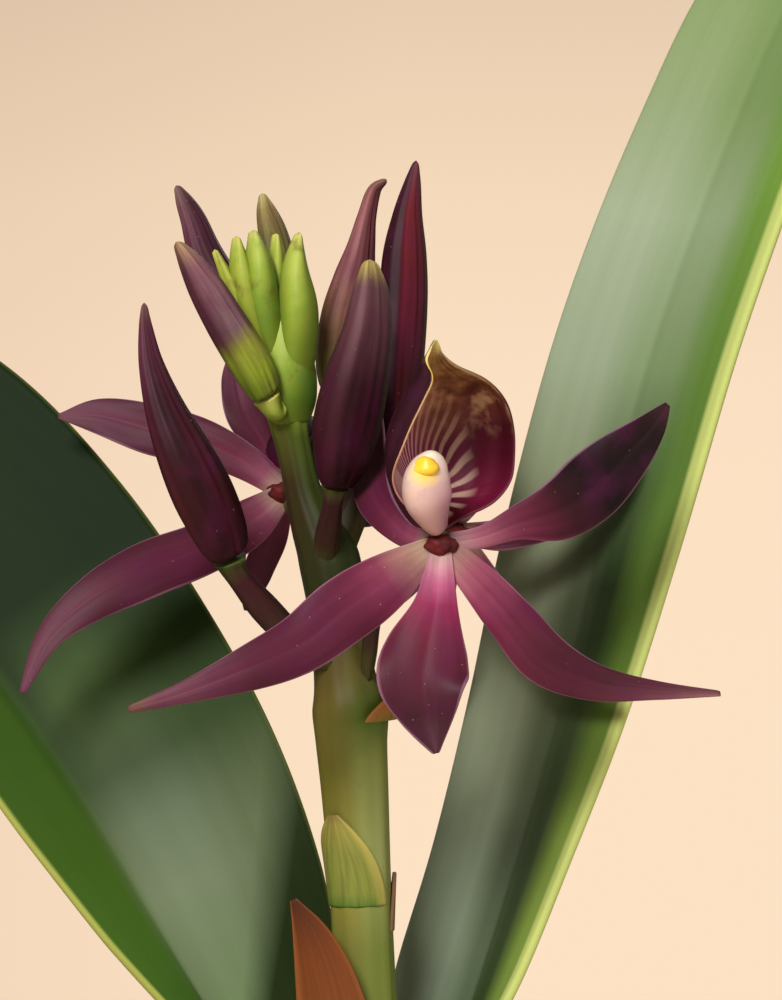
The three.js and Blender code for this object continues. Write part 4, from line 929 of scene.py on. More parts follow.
# Painted light on each bud: the light run is sheen where light falls, the dark run flesh in painted shade.
bud_tones = {
    "front": {
        "dark": [(0, "#14040a"), (0.25, "#1c060b"), (0.5, "#200a10"), (0.72, "#3a1a20"), (0.87, "#46262a"),
                 (1, "#b89a4c")],
        "light": [(0, "#300a10"), (0.25, "#40101a"), (0.5, "#4c202a"), (0.66, "#663c42"), (0.84, "#785254"),
                  (1, "#d3c56c")],
        "across": [(0.05, 0.2), (0.17, 0.55), (0.24, 0.25), (0.3, 0.9), (0.4, 0.55), (0.5, 0.2)]},
    "tall": {
        "dark": [(0, "#1a0509"), (0.4, "#1e060e"), (0.8, "#280c16"), (1, "#4a262e")],
        "light": [(0, "#520a14"), (0.4, "#660e1e"), (0.75, "#80242e"), (1, "#84484e")],
        "across": [(0.02, 0.15), (0.1, 0.4), (0.17, 0.8), (0.23, 1), (0.28, 0.1), (0.5, 0.1)]},
    "hooked": {
        "dark": [(0, "#55602a"), (0.2, "#5c3c2c"), (0.45, "#501a26"), (0.8, "#5e222e"), (1, "#543032")],
        "light": [(0, "#97a04c"), (0.22, "#946c48"), (0.45, "#9c5e60"), (0.8, "#a8686a"), (1, "#8f6c58")],
        "across": [(0.05, 0.1), (0.2, 0.4), (0.3, 0.95), (0.42, 0.7), (0.5, 0.3)]},
    "left": {
        "dark": [(0, "#200506"), (0.25, "#220508"), (0.6, "#260a12"), (0.85, "#3e1a24"), (1, "#6a4444")],
        "light": [(0, "#3a0e0e"), (0.3, "#470f18"), (0.6, "#4e1c2a"), (0.85, "#703c46"), (1, "#8f6a5c")],
        "across": [(0.05, 0.2), (0.16, 0.6), (0.22, 0.1), (0.3, 0.4), (0.37, 0.95), (0.46, 0.3)]},
    "upper_left": {
        "dark": [(0, "#5d8018"), (0.3, "#7d8426"), (0.4, "#481c24"), (0.8, "#451e26"), (1, "#7a523c")],
        "light": [(0, "#93b02c"), (0.34, "#a3a83a"), (0.44, "#8c6a70"), (0.8, "#94646a"), (1, "#c09c6c")],
        "across": [(0.04, 0.3), (0.13, 0.8), (0.2, 1), (0.27, 0.5), (0.35, 0.1), (0.5, 0.1)]},
    "rear_left": {
        "dark": [(0, "#270a12"), (0.4, "#2a0c16"), (0.8, "#3a1822"), (1, "#6a4848")],
        "light": [(0, "#5a3438"), (0.4, "#6c3c46"), (0.8, "#80525a"), (1, "#9a7a6c")],
        "across": [(0.1, 0.1), (0.25, 0.4), (0.38, 0.85), (0.5, 0.3)]},
    "rear": {
        "dark": [(0, "#403d1c"), (0.5, "#524a28"), (0.8, "#7a6a3c"), (1, "#b3a45c")],
        "light": [(0, "#6a722c"), (0.5, "#857a3c"), (0.8, "#a89450"), (1, "#ddd38a")],
        "across": [(0.1, 0.2), (0.25, 0.85), (0.4, 0.4), (0.5, 0.2)]},
}


def three_sepals(spine):
    surface = skin(spine, ribs=3, rib_depth=0.07)

    def closed(t, angle):
        seam_turn = angle + SEAM_TWIST * math.sin(math.pi * t)
        seam = math.exp(-(math.cos(1.5 * seam_turn) / SEAM_WIDTH) ** 2)
        ridge = SEPAL_RIDGE * math.cos(SEPAL_RIDGES * angle)
        thin = math.sin(math.pi * min(t + 0.08, 1)) ** 0.5
        return surface(t, angle, (ridge - SEAM * seam) * thin)
    return closed


def petal_flesh(name, tones, streak, streak_share, margin_share):
    """Sepal and petal skin: satin, wine-dark flesh with fine veins along it, pale pin-pricks, and painted
    sheen and shade.
    """
    made, tree, shader = fresh_finish(name)
    uv_map, uv = piece_map(tree)
    place = node(tree, "TexCoord").outputs["Object"]
    tone = two_tone(tree, uv, **tones)
    streaks = drawn_grain(tree, uv_map, streak, 1.7, 5, 0.55)
    streaked = glazed(tree, tone, "#1f060d", streaks, [(0.42, 0), (0.7, streak_share)])
    clouds = node(tree, "TexNoise", {"Vector": place, "Scale": 1 / (CLOUD_SPACING * MM), "Detail": 3})
    clouded = glazed(tree, streaked, "#581440", clouds, [(0.45, 0), (0.7, 0.35)])
    edge_run = ((0, 1), (0.02, 0.7), (0.045, 0), (0.955, 0), (0.98, 0.7), (1, 1))
    edged = glazed(tree, clouded, "#b98aa0", uv.outputs["X"],
                   [(at, margin_share * share) for at, share in edge_run])
    cells = node(tree, "TexVoronoi", {"Vector": place, "Scale": 1 / (PRICK_SPACING * MM)})
    prick = node(tree, "ValToRGB", {"Fac": cells.outputs["Distance"]}, stops=[(0.0, 0.6), (0.08, 0)])
    chosen = node(tree, "ValToRGB", {"Fac": cells.outputs["Color"]}, stops=[(0.62, 0), (0.72, 1)])
    pricks = node(tree, "Math", {0: prick, 1: chosen}, operation="MULTIPLY")
    pricked = node(tree, "Mix", {"Factor": pricks, "A": edged, "B": "#d9b4b0"}, data_type="RGBA")
    surfaced(tree, shader, pricked, roughness=0.52, relief=streaks, strength=0.2, depth=0.15, shine=0.16)
    return made


for name, spine in bud_spines.items():
    piece = rolled(f"bud_{name}_sepals", three_sepals(spine), spine, 60, 64, 0.04)
    piece.data.materials.append(petal_flesh(f"bud_skin_{name}", bud_tones[name], 16, 0.6, 0))
    stands_for(piece, f"bud_{name}")

# Three open blooms, upside down as these orchids hold them. Five narrow tepals spread from a small
# hub: each is one fleshy blade, pale and clawed at its foot, wine-dark beyond, with rolled edges.
PETAL_THICKNESS = 0.62
FRONT_HEART = Vector((10.4, -18, 243.1))
SIDE_HEART = Vector((-7.5, 9, 248.9))
REAR_HEART = Vector((12.5, 14, 244))
HUB = Vector((1.9, 1.5, 1.15))
HUB_LUMP = 0.25
HUB_BLUSH = 1.5
EDGE_ROLL = 0.035
ROLL_FROM = 0.72
CHANNEL = 0.028
EDGE_WAVE = 0.05
EDGE_WAVES = 17
front_tepals = {
    "left_petal": {
        "spine": [[-0.6, 0.2, -0.2, 2.6], [-6, -2, -4, 6.3], [-10.5, -4, -7, 7.3], [-15, -6, -10.5, 6.5],
                  [-20.5, -8, -13, 4.9], [-27, -9, -15.5, 2.5], [-33.5, -9, -17.5, 0.5]],
        "face": [[0, -1, 0], [0.1, -1, 0.2], [0.1, -1, 0.1]], "cup": [0, -0.06, -0.04]},
    "dorsal_sepal": {
        "spine": [[0, 0, -0.4, 2.4], [-0.5, -2, -6, 4.6], [-1.5, -4, -11, 9], [-2, -5, -14.5, 10],
                  [-1.5, -5, -18, 6.7], [-0.5, -4, -22.5, 0.6]],
        "face": [[0, -1, 0]], "cup": [0, -0.05, -0.04, 0.08, 0.2]},
    "right_petal": {
        "spine": [[0.6, 0.2, -0.3, 2.6], [5, -0.5, -5, 4.6], [8, -1, -8.5, 5.3], [11.5, -1, -12.5, 5.8],
                  [17, 0, -15, 4], [23.5, 2, -16, 2.2], [31, 4, -16.5, 0.5]],
        "face": [[0, -1, 0], [0, -1, 0], [0.1, -0.9, 0.5]], "cup": [0, -0.05, -0.03]},
    "right_sepal": {
        "spine": [[0.8, 0.6, 0.2, 2.2], [4.6, 1.2, 0.9, 2.4], [8.6, 2.6, 2.4, 3.8], [13, 4, 3.7, 7],
                  [16.6, 5.6, 6, 8], [20.4, 7, 9.7, 6.4], [23.5, 8, 13, 3.6], [25.5, 9, 15.6, 0.5]],
        "face": [[0, -1, 0], [0.1, -1, -0.2], [0.1, -1, 0]], "cup": [0, -0.05, 0.04]},
    "left_sepal": {
        "spine": [[-0.8, 0.8, 0.2, 2.2], [-4, 3, 1.2, 2.8], [-7, 8, 4.6, 4.4], [-8, 13.4, 8.6, 5],
                  [-8.4, 15.2, 13.4, 4.6], [-8.6, 15.4, 18, 2.8], [-8.8, 15, 21.6, 0.5]],
        "face": [[0, -1, 0], [-0.4, -1, 0], [0, -1, 0.2]]},
}
side_tepals = {
    "low_left": {
        "spine": [[-0.3, 0, -0.4, 2.8], [-4, -1, -3.5, 5.6], [-9.5, -3, -6.5, 6.3], [-16, -6, -9, 7],
                  [-21.5, -8, -12, 5.4], [-26.5, -9, -16.5, 3.2], [-29.5, -10, -23, 0.5]],
        "face": [[0, -1, 0], [-0.1, -1, 0.3], [-0.2, -1, 0.2]], "cup": [0, -0.05, -0.03]},
    "high_left": {
        "spine": [[-0.3, 0.2, 0.3, 2.4], [-4.5, 2, 3.5, 4.2], [-10, 4, 6, 5.6], [-16, 5, 7.5, 6.1],
                  [-22, 6, 9, 4.4], [-27, 7, 9, 0.5]],
        "face": [[0, -1, 0], [0, -1, 0.3]], "cup": [0, 0.05]},
    "upright": {
        "spine": [[-0.2, 0.3, 0.5, 2.4], [-2.6, 4, 5.6, 3.6], [-4.9, 7, 9.4, 4.5], [-6, 9, 13.4, 3.4],
                  [-6.6, 11, 17, 0.5]],
        "face": [[0, -1, 0.2]], "cup": [0, 0.05]},
    "hanging": {
        "spine": [[0, 0.6, -0.5, 2.4], [-1.4, 3, -5, 3.6], [-2.9, 5, -8.6, 3.6], [-4, 6, -11.6, 2.6],
                  [-4.6, 7, -14, 0.5]],
        "face": [[0, -1, -0.2]]},
    "right": {
        "spine": [[0.5, 0.6, -0.3, 2.4], [3.5, 4, -1.6, 4.2], [7, 8, -2, 4.5], [10.5, 13, -2.2, 3.6],
                  [13, 17, -2.5, 0.5]],
        "face": [[0.3, -1, 0]]},
}
rear_tepals = {
    "left_petal": {
        "spine": [[-0.6, 0, -0.3, 2.6], [-6, 2, -4.6, 5.5], [-10.5, 4, -8, 6], [-15, 6, -11.7, 5.2],
                  [-20, 8, -14.6, 3], [-25, 9, -16.6, 0.5]],
        "face": [[0, 1, 0], [-0.1, 1, 0.2]], "cup": [0, -0.05]},
    "dorsal_sepal": {
        "spine": [[0, 0, -0.5, 2.4], [-2.1, 2, -7.9, 4.4], [-3.1, 4, -13.3, 7.4], [-3.4, 5, -18, 6],
                  [-2.4, 4, -22.5, 0.5]],
        "face": [[0, 1, 0]], "cup": [0, -0.05]},
    "right_petal": {
        "spine": [[0.6, 0, -0.4, 2.6], [4.2, 0.5, -7, 4.6], [7.8, -0.5, -12, 5.2], [12.6, -6, -16, 4.6],
                  [17, -14, -17.4, 2.6], [20, -18, -18, 0.5]],
        "face": [[0, 1, 0], [0.1, 1, 0.2]], "cup": [0, -0.05]},
    "right_sepal": {
        "spine": [[0.8, 0.4, 0.1, 2.4], [4.6, 0.6, -0.2, 3.6], [8, 0, 0.6, 4.4], [12.4, -1.6, 2.8, 5.6],
                  [17.2, -2.6, 6.4, 5], [21, -3, 10, 0.5]],
        "face": [[0, 1, 0]], "cup": [0, 0.05]},
    "left_sepal": {
        "spine": [[-0.8, 0.4, 0.1, 2.4], [-4.6, -0.8, 1.2, 3.6], [-8.2, -2.2, 4.8, 4.6],
                  [-10.2, -3, 9.6, 4.6], [-11.2, -3, 14.6, 2.8], [-11.6, -2.6, 18.4, 0.5]],
        "face": [[0, 1, 0], [-0.3, 1, 0]]},
}
# Tepal tones: the light run is painted sheen where light falls and the darkest stretches painted shade, as
# on the front bloom's right sepal, which lies in shadow.
wine = {
    "dark": [(0, "#8d6a5c"), (0.1, "#6a2038"), (0.3, "#3a0c1a"), (0.7, "#38141f"), (1, "#5a3238")],
    "light": [(0, "#c2a98e"), (0.1, "#a0526a"), (0.25, "#762c46"), (0.5, "#63263a"), (0.75, "#6a3044"),
              (1, "#784656")],
    "across": [(0.05, 0.35), (0.25, 0.4), (0.55, 0.8), (0.8, 0.5), (0.95, 0.35)]}
tepal_tones = {
    "front_left_petal": {
        "dark": [(0, "#a08a6c"), (0.08, "#8f5a5c"), (0.16, "#6c2039"), (0.3, "#52142a"), (0.66, "#471829"),
                 (0.9, "#5a2c3a"), (1, "#5d4132")],
        "light": [(0, "#c4ae92"), (0.08, "#b38676"), (0.16, "#91405a"), (0.26, "#762b46"), (0.36, "#66223b"),
                  (0.66, "#5c2236"), (0.85, "#70384a"), (1, "#7a5048")],
        "across": [(0.0, 0.35), (0.15, 0.1), (0.5, 0.8), (0.75, 0.7), (0.92, 0.4), (1, 0.8)]},
    "front_dorsal_sepal": {
        "dark": [(0, "#b08a84"), (0.1, "#a84c70"), (0.22, "#8a2448"), (0.35, "#5c1a2f"), (0.6, "#4a1826"),
                 (0.8, "#38141d"), (1, "#32101a")],
        "light": [(0, "#dcc4ae"), (0.07, "#dca4a8"), (0.14, "#c4648a"), (0.22, "#a3335c"), (0.3, "#822645"),
                  (0.4, "#6b2236"), (0.6, "#5c2234"), (0.8, "#48202a"), (1, "#6a4450")],
        "across": [(0.0, 0.6), (0.12, 0.25), (0.35, 0.6), (0.5, 0.9), (0.7, 0.5), (0.9, 0.2), (1, 0.8)]},
    "front_right_petal": {
        "dark": [(0, "#9a7a68"), (0.1, "#8a3a54"), (0.3, "#5a1a30"), (0.5, "#451a24"), (0.7, "#3f1820"),
                 (1, "#5a3034")],
        "light": [(0, "#c9ae94"), (0.08, "#b06c74"), (0.17, "#8f3657"), (0.32, "#782743"), (0.45, "#622035"),
                  (0.6, "#54202e"), (0.75, "#66303f"), (0.88, "#7c4652"), (1, "#a0726c")],
        "across": [(0.0, 0.2), (0.3, 0.25), (0.6, 0.5), (0.85, 0.8), (1, 0.7)]},
    "front_right_sepal": {
        "dark": [(0, "#96707a"), (0.15, "#8a4658"), (0.3, "#561a2e"), (0.45, "#240a10"), (0.6, "#12060a"),
                 (1, "#2c1414")],
        "light": [(0, "#d4b4a4"), (0.12, "#c37e8c"), (0.25, "#96485e"), (0.36, "#752940"), (0.48, "#481a24"),
                  (0.6, "#1c0c10"), (0.85, "#180a0d"), (1, "#4a2c2e")],
        "across": [(0.0, 0.15), (0.4, 0.3), (0.7, 0.55), (0.88, 0.35), (0.97, 0.9)]},
}


def rolled_edge_blade(tepal, heart, seed):
    spine = [[*(heart + Vector(row[:3])), row[3]] for row in tepal["spine"]]
    surface = blade(**{**tepal, "spine": spine})

    def lay(t, u):
        look = Vector(along(tepal["face"], t)).normalized()
        wide = along(spine, t)[3]
        roll = EDGE_ROLL * max(abs(u) - ROLL_FROM, 0) / (1 - ROLL_FROM)
        channel = CHANNEL * math.exp(-(u / 0.1) ** 2)
        wave = EDGE_WAVE * abs(u) ** 3 * math.sin(EDGE_WAVES * t + 2.1 * seed + (2 if u > 0 else 0))
        return surface(t, u) + look * wide * (wave - roll - channel)
    return lay


def hub_at(heart):
    bpy.ops.mesh.primitive_uv_sphere_add(segments=32, ring_count=18, radius=1)
    made = bpy.context.object
    for corner in made.data.vertices:
        spot = corner.co * HUB
        corner.co = (heart + spot * (1 + HUB_LUMP * noise.noise(spot * 1.6))) * MM
    bpy.ops.object.shade_smooth()
    return made


# Hub flesh: the blood-red, matt knot where the tepals, lip and column meet.
hub_flesh, tree, shader = fresh_finish("flower_hub_flesh")
place = node(tree, "TexCoord").outputs["Object"]
blush = node(tree, "TexNoise", {"Vector": place, "Scale": 1 / (HUB_BLUSH * MM), "Detail": 4})
red = node(tree, "ValToRGB", {"Fac": blush}, stops=[(0.35, "#3a0a0e"), (0.65, "#6e1c1e")])
wire(tree, shader, {"Base Color": red, "Roughness": 0.6, "Specular IOR Level": 0.25})
blooms = {
    "front": (FRONT_HEART, front_tepals),
    "side": (SIDE_HEART, side_tepals),
    "rear": (REAR_HEART, rear_tepals),
}
for bloom, (heart, tepals) in blooms.items():
    parts = [hub_at(heart)]
    parts[0].data.materials.append(hub_flesh)
    for seed, (name, tepal) in enumerate(tepals.items()):
        part = strip(name, rolled_edge_blade(tepal, heart, seed), 44, 14)
        thickened(part, PETAL_THICKNESS)
        tones = tepal_tones.get(f"{bloom}_{name}", wine)
        part.data.materials.append(petal_flesh(f"petal_flesh_{bloom}_{name}", tones, 8, 0.25, 0.6))
        parts.append(part)
    piece = join_into_one(parts, f"{bloom}_bloom_petals")
    stands_for(piece, f"{bloom}_bloom_tepals")

# The lip stands over each heart as a shell-shaped hood, with its tip drawn to a small beak. The
# rings run from its claw up to the beak: height, radius, left and right margin in degrees, and how
# far the ring is shifted right and back.
LIP_THICKNESS = 0.36
LIP_PLEATS = 24
LIP_PLEAT = 0.12
BEAK_FROM = 0.94
BEAK_TAPER = 0.75
LIP_RINGS = [
    [1.7, 0.9, 50, 50, 0.3, 1.3], [3.2, 2.9, 62, 80, 0.9, 0.9], [4.6, 5.3, 66, 94, 1.2, 0.3],
    [7, 6.9, 76, 100, 1.4, 0], [10, 7.3, 96, 101, 1.4, 0], [13, 6.9, 106, 104, 1.5, 0],
    [15.8, 5.7, 112, 108, 1.6, -0.3], [18, 3.9, 116, 110, 1.2, -0.9],
    [19.5, 2, 108, 100, -0.1, -1.5], [21, 1, 55, 55, -0.25, -2.7], [22.3, 0.8, 24, 24, -0.1, -2.75]]


def lean(up, back):
    """The axes of a flower: across it, backwards and up."""
    rise = Vector(up).normalized()
    level = (Vector(back) - rise * Vector(back).dot(rise)).normalized()
    return level.cross(rise), level, rise


def in_bloom(heart, basis, size):
    """The place of a flower's own parts, drawn upright at the origin."""
    turned = Matrix(basis).transposed().to_4x4()
    return Matrix.Translation(heart * MM) @ turned @ Matrix.Scale(size, 4)


def lip_shell(turn):
    def surface(t, u):
        height, radius, left, right, shift, back = along(LIP_RINGS, t)
        narrowed = 1 - BEAK_TAPER * max(t - BEAK_FROM, 0) / (1 - BEAK_FROM)
        angle = math.radians(u * narrowed * (left if u < 0 else right)) - turn
        pleat = LIP_PLEAT * math.cos(LIP_PLEATS * u) * math.sin(math.pi * t)
        reach = radius + pleat
        return Vector((shift + reach * math.sin(angle), back + reach * math.cos(angle), height))
    return surface


# Lip, inner face: wine-red with cream bars that fan up from the foot, closer together to the left,
# and olive-gold with tan and maroon mottling under the beak, with painted shade darkening its right
# side. Satin, with the bars slightly proud.
LIP_ACROSS = 24
LIP_UP = 21
BAR_FOOT = 0.19
BAR_PHASE = 66
BAR_WAVER = 5
LONGEST_BAR = 14.5
SHORTER_RIGHT = 6
LIP_MOTTLE = 2.6
lip_inside, tree, shader = fresh_finish("lip_inner_face")
uv_map, uv = piece_map(tree)
place = node(tree, "TexCoord").outputs["Object"]
sideways = node(tree, "Math", {0: uv.outputs["X"], 1: LIP_ACROSS, 2: -LIP_ACROSS / 2},
                operation="MULTIPLY_ADD")
upwards = node(tree, "Math", {0: uv.outputs["Y"], 1: LIP_UP, 2: -LIP_UP * BAR_FOOT},
               operation="MULTIPLY_ADD")
fan_turn = node(tree, "Math", {0: sideways, 1: upwards}, operation="ARCTAN2")
from_foot = node(tree, "VectorMath", {0: node(tree, "CombineXYZ", {"X": sideways, "Y": upwards})},
                 operation="LENGTH").outputs["Value"]
waver = node(tree, "TexNoise", {"Vector": place, "Scale": 1 / (BAR_WAVER * MM), "Detail": 1})
wavered = node(tree, "Math", {0: waver, 1: 0.18, 2: fan_turn}, operation="MULTIPLY_ADD")
spread = node(tree, "Math", {0: node(tree, "Math", {0: wavered, 1: 1.2}), 1: 0.4}, operation="MAXIMUM")
phase = node(tree, "Math", {0: spread, 1: math.e}, operation="LOGARITHM")
fan = node(tree, "Math", {0: node(tree, "Math", {0: phase, 1: BAR_PHASE}, operation="MULTIPLY")},
           operation="SINE")
bars = node(tree, "ValToRGB", {"Fac": node(tree, "Math", {0: fan, 1: 0.5, 2: 0.5},
                                           operation="MULTIPLY_ADD")}, stops=[(0.4, 0), (0.8, 1)])
share_right = node(tree, "MapRange", {"Value": fan_turn, "From Min": -0.3, "From Max": 0.9})
reach = node(tree, "Math", {0: share_right, 1: -SHORTER_RIGHT, 2: LONGEST_BAR}, operation="MULTIPLY_ADD")
run = node(tree, "Math", {0: from_foot, 1: reach}, operation="DIVIDE")
bar_run = node(tree, "ValToRGB", {"Fac": run}, stops=[(0.05, 0.2), (0.25, 1), (0.6, 0.85), (0.9, 0)])
bar_here = node(tree, "Math", {0: bars, 1: bar_run}, operation="MULTIPLY")
bar_tone = node(tree, "ValToRGB", {"Fac": share_right},
                stops=[(0, "#e0b0aa"), (0.35, "#c28e80"), (0.6, "#c29c84"), (1, "#d4b49c")])
ground_up = node(tree, "ValToRGB", {"Fac": uv.outputs["Y"]},
                 stops=[(0, "#5c0c2c"), (0.3, "#98225a"), (0.42, "#96345a"), (0.53, "#a0604c"),
                        (0.66, "#b07a52"), (0.82, "#a8824a"), (0.94, "#9a8440"), (1, "#b9a95c")])
# Painted shade: the ground goes darker towards the right of the inner face.
ground_in_shade = node(tree, "ValToRGB", {"Fac": uv.outputs["Y"]},
                    stops=[(0, "#5c0a24"), (0.25, "#640f2e"), (0.4, "#460a1c"), (0.5, "#400e18"),
                           (0.6, "#6a342c"), (0.74, "#90603c"), (0.86, "#8a6438"), (1, "#b9a95c")])
ground = glazed(tree, ground_up, ground_in_shade, uv.outputs["X"], [(0.5, 0), (0.74, 1)])
barred = node(tree, "Mix", {"Factor": bar_here, "A": ground, "B": bar_tone}, data_type="RGBA")
mottle = node(tree, "TexNoise", {"Vector": place, "Scale": 1 / (LIP_MOTTLE * MM), "Detail": 4})
mottle_line = node(tree, "ValToRGB", {"Fac": mottle}, stops=[(0.5, 0), (0.68, 0.7)])
mottle_rise = node(tree, "ValToRGB", {"Fac": uv.outputs["Y"]}, stops=[(0.45, 0.0), (0.65, 1), (0.9, 0.3)])
mottle_here = node(tree, "Math", {0: mottle_line, 1: mottle_rise}, operation="MULTIPLY")
tan_patch = node(tree, "ValToRGB", {"Fac": mottle}, stops=[(0.36, 0.65), (0.52, 0)])
tan_here = node(tree, "Math", {0: tan_patch, 1: mottle_rise}, operation="MULTIPLY")
tanned = node(tree, "Mix", {"Factor": tan_here, "A": barred, "B": "#cfa878"}, data_type="RGBA")
mottled = node(tree, "Mix", {"Factor": mottle_here, "A": tanned, "B": "#3a1014"}, data_type="RGBA")
surfaced(tree, shader, mottled, roughness=0.5, relief=bars, strength=0.3, depth=0.2, shine=0.15)

# Lip, outer face: near-black purple with faint lengthwise veins, and a painted satin sheen.
lip_outside = petal_flesh("lip_outer_face", {
    "dark": [(0, "#4a0e24"), (0.3, "#24080f"), (0.8, "#260a10"), (1, "#7a6a3c")],
    "light": [(0, "#6a1a34"), (0.3, "#401826"), (0.8, "#3c1620"), (1, "#a8984c")],
    "across": [(0, 0.6), (0.2, 0.3), (0.5, 0.5), (1, 0.4)]}, 22, 0.5, 0)

# Lip margin: a thin cream-gold line where the flesh is bare of wine, darker down the right side with painted
# shade.
lip_margin, tree, shader = fresh_finish("lip_margin")
uv = piece_map(tree)[1]
gilt = node(tree, "ValToRGB", {"Fac": uv.outputs["Y"]},
            stops=[(0, "#a8546c"), (0.35, "#c9967c"), (0.6, "#cfa06a"), (0.8, "#e0c05c"), (1, "#e6dba0")])
margin_in_shade = node(tree, "ValToRGB", {"Fac": uv.outputs["Y"]},
            stops=[(0, "#7a3048"), (0.4, "#5c2030"), (0.6, "#40201e"), (0.82, "#8a7440"), (1, "#e6dba0")])
margin = glazed(tree, gilt, margin_in_shade, uv.outputs["X"], [(0.3, 0), (0.7, 1)])
wire(tree, shader, {"Base Color": margin, "Roughness": 0.5, "Specular IOR Level": 0.3})

# The column is the fused heart of the flower, a white nose with a pink foot, and a yellow cap lies
# over the pollen at its tip.
nose_shape = {
    "spine": [[0, -0.6, 1.4, 1.8], [-0.8, -1.5, 2.8, 3.4], [-1.5, -2.4, 4.8, 5.2], [-1.7, -2.9, 6.5, 5.3],
              [-1.4, -3.3, 8, 4.7], [-0.9, -3.5, 9.3, 3.2], [-0.55, -3.6, 10.2, 1.2]],
    "ribs": 3, "rib_depth": 0.06,
}
cap_spine = [[-2.9, -4.1, 8.1, 0.9], [-2.1, -4.6, 8.3, 2.2], [-1.2, -4.8, 8.5, 2.4], [-0.5, -4.5, 9, 0.9]]

# Column flesh: waxy white, flushed pink towards its foot, paler where light falls and mauve with painted
# shade on its shaded side, and yellow just under the cap.
COLUMN_BLUSH = 1.2
column_wax, tree, shader = fresh_finish("column_flesh")
uv_map, uv = piece_map(tree)
place = node(tree, "TexCoord").outputs["Object"]
# The light run is the lit side, and the dark run painted shade on the side away from the light.
wax = two_tone(
    tree, uv,
    dark=[(0, "#7a3c54"), (0.25, "#b0788a"), (0.5, "#cf9ca4"), (0.8, "#e0bcb4"), (1, "#e6d0b4")],
    light=[(0, "#b88a8a"), (0.25, "#d0a69a"), (0.5, "#e6c2b2"), (0.75, "#f3dcc8"), (1, "#fbf0d8")],
    across=[(0, 0.1), (0.14, 0.2), (0.24, 0.75), (0.32, 1), (0.45, 0.8), (0.6, 0.3)])
blush = node(tree, "TexNoise", {"Vector": place, "Scale": 1 / (COLUMN_BLUSH * MM), "Detail": 5})
blushed = glazed(tree, wax, "#c48aa8", blush, [(0.55, 0), (0.75, 0.35)])
yellow_from = node(tree, "VectorMath", {0: uv_map, 1: (0.27, 0.68, 0)},
                   operation="DISTANCE").outputs["Value"]
gilded = glazed(tree, blushed, "#fbd85a", yellow_from, [(0.05, 0.85), (0.16, 0)])
wire(tree, shader, {"Base Color": gilded, "Roughness": 0.4, "Specular IOR Level": 0.35})

# Cap skin: smooth, waxy lemon to egg yellow, paling to cream where it meets the column.
cap_skin, tree, shader = fresh_finish("anther_cap_skin")
uv = piece_map(tree)[1]
gold = node(tree, "ValToRGB", {"Fac": uv.outputs["Y"]},
            stops=[(0, "#fbe9a0"), (0.3, "#ffd83a"), (0.6, "#fbcc2a"), (1, "#f0b838")])
wire(tree, shader, {"Base Color": gold, "Roughness": 0.4})
bloom_stands = {
    "front": (FRONT_HEART, lean((0, 0, 1), (0, 1, 0)), 0.57, 1),
    "side": (SIDE_HEART, lean((0.45, 0.8, 0.4), (0.3, -0.6, 0.8)), 0, 0.72),
    "rear": (REAR_HEART, lean((0, 0, 1), (0, -1, 0)), 0, 0.88),
}
for bloom, (heart, basis, turn, size) in bloom_stands.items():
    stand = in_bloom(heart, basis, size)
    lip = strip(f"{bloom}_bloom_hood", lip_shell(turn), 52, 40)
    for finish in (lip_inside, lip_outside, lip_margin):
        lip.data.materials.append(finish)
    thickened(lip, LIP_THICKNESS / size, outside=1, rim=2)
    lip.data.transform(stand)
    stands_for(lip, f"{bloom}_bloom_lip")
    nose = rolled(f"{bloom}_bloom_nose", skin(**nose_shape), nose_shape["spine"], 48, 48, 0.06)
    nose.data.transform(stand)
    nose.data.materials.append(column_wax)
    stands_for(nose, f"{bloom}_bloom_column")
    pollen_cap = rolled(f"{bloom}_bloom_cap", ridged(cap_spine, 4, 0.1), cap_spine, 32, 28, 0.2)
    pollen_cap.data.transform(stand)
    pollen_cap.data.materials.append(cap_skin)
    stands_for(pollen_cap, f"{bloom}_bloom_anther_cap")

# A plain pale floor that fades out before its edge, and a warm pale room behind it.
FLOOR_REACH = 1.3
FLOOR_GRAIN = 25 / 3
FADE_FROM = 0.4
FADE_TO = 1.2
bpy.ops.mesh.primitive_circle_add(vertices=96, radius=FLOOR_REACH, fill_type="NGON")
floor = bpy.context.object
floor.name = "studio_floor"
floor_paint, tree, shader = fresh_finish("studio_floor_paint")
place = node(tree, "TexCoord").outputs["Object"]
reach = node(tree, "VectorMath", {0: place}, operation="LENGTH").outputs["Value"]
fade = node(tree, "MapRange", {"Value": reach, "From Min": FADE_FROM, "From Max": FADE_TO,
                               "To Min": 1, "To Max": 0})
grain = node(tree, "TexNoise", {"Vector": place, "Scale": 1 / (FLOOR_GRAIN * MM), "Detail": 3})
paint = node(tree, "ValToRGB", {"Fac": grain}, stops=[(0.3, "#f1dcc6"), (0.7, "#f5e3cf")])
wire(tree, shader, {"Base Color": paint, "Roughness": 0.8, "Alpha": fade})
floor.data.materials.append(floor_paint)

room = bpy.data.worlds.new("warm_room")
room.use_nodes = True
bpy.context.scene.world = room
tree = room.node_tree
tree.nodes.clear()
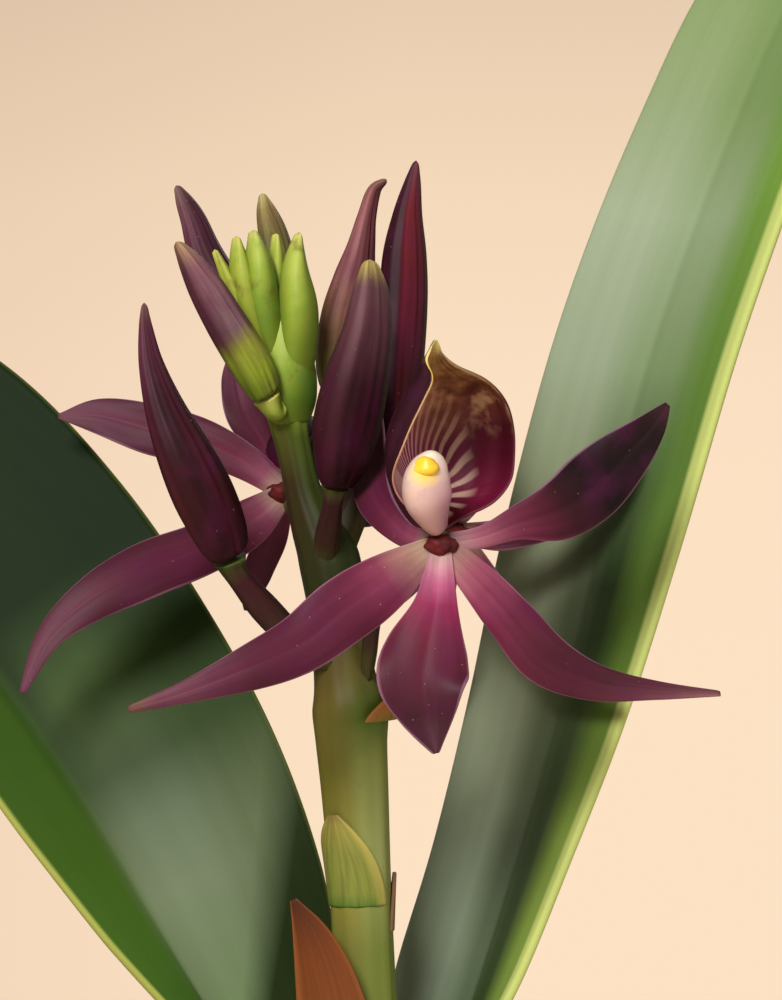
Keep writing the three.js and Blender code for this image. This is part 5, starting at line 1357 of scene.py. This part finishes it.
# The wall behind darkens upwards and to the left: painted shade on the backdrop.
look = node(tree, "SeparateXYZ", {"Vector": node(tree, "TexCoord").outputs["Generated"]})
rise = node(tree, "MapRange", {"Value": look.outputs["Z"], "From Min": -0.14, "From Max": 0.14})
plaster = node(tree, "ValToRGB", {"Fac": rise}, stops=[
    (0, "#fde2c4"), (0.36, "#fde2c4"), (0.62, "#fbdfc2"), (0.795, "#f4d9bb"), (0.873, "#efd4b6"),
    (0.968, "#e9ceb2"), (1, "#e7ccb0")])
leftward = node(tree, "MapRange", {"Value": look.outputs["X"], "From Min": 0.0, "From Max": -0.11})
shaded = node(tree, "Mix", {"Factor": leftward, "A": plaster, "B": "#f6f4f4"}, data_type="RGBA",
              blend_type="MULTIPLY")
ray = node(tree, "LightPath").outputs["Is Camera Ray"]
air = node(tree, "Background", {"Color": "#fff4ea", "Strength": 0.25})
wall_paint = node(tree, "Background", {"Color": shaded, "Strength": 1})
shown = node(tree, "MixShader", {0: ray, 1: air, 2: wall_paint})
node(tree, "OutputWorld", {"Surface": shown})


def soft_light(name, place, target, size, watts):
    lamp = bpy.data.lights.new(name, "AREA")
    lamp.shape = "DISK"
    lamp.size = size
    lamp.energy = watts
    holder = bpy.data.objects.new(name, lamp)
    bpy.context.scene.collection.objects.link(holder)
    holder.location = place
    holder.rotation_euler = (Vector(target) - Vector(place)).to_track_quat("-Z", "Y").to_euler()


FLOWERS = (0, 0, 0.24)
soft_light("key_softbox", (-0.3, -0.85, 0.8), FLOWERS, 0.4, 11)
soft_light("fill_softbox", (0.9, -0.5, 0.5), FLOWERS, 0.7, 1.6)
soft_light("back_softbox", (0.3, 0.9, 0.8), FLOWERS, 0.6, 1.8)

# The camera stands level in front of the flowers, with a long lens held upright.
CAMERA_PLACE = (0.005, -0.415, 0.248)
HALF_HEIGHT = 0.055
HALF_HEIGHT_AT = 0.4
SENSOR = 36
lens = bpy.data.cameras.new("portrait_lens")
lens.sensor_fit = "VERTICAL"
lens.sensor_height = SENSOR
lens.lens = SENSOR / 2 / (HALF_HEIGHT / HALF_HEIGHT_AT)
lens.dof.use_dof = False
camera = bpy.data.objects.new("camera", lens)
bpy.context.scene.collection.objects.link(camera)
camera.location = CAMERA_PLACE
camera.rotation_euler = (math.pi / 2, 0, 0)
bpy.context.scene.camera = camera
bpy.context.scene.view_settings.view_transform = "Standard"
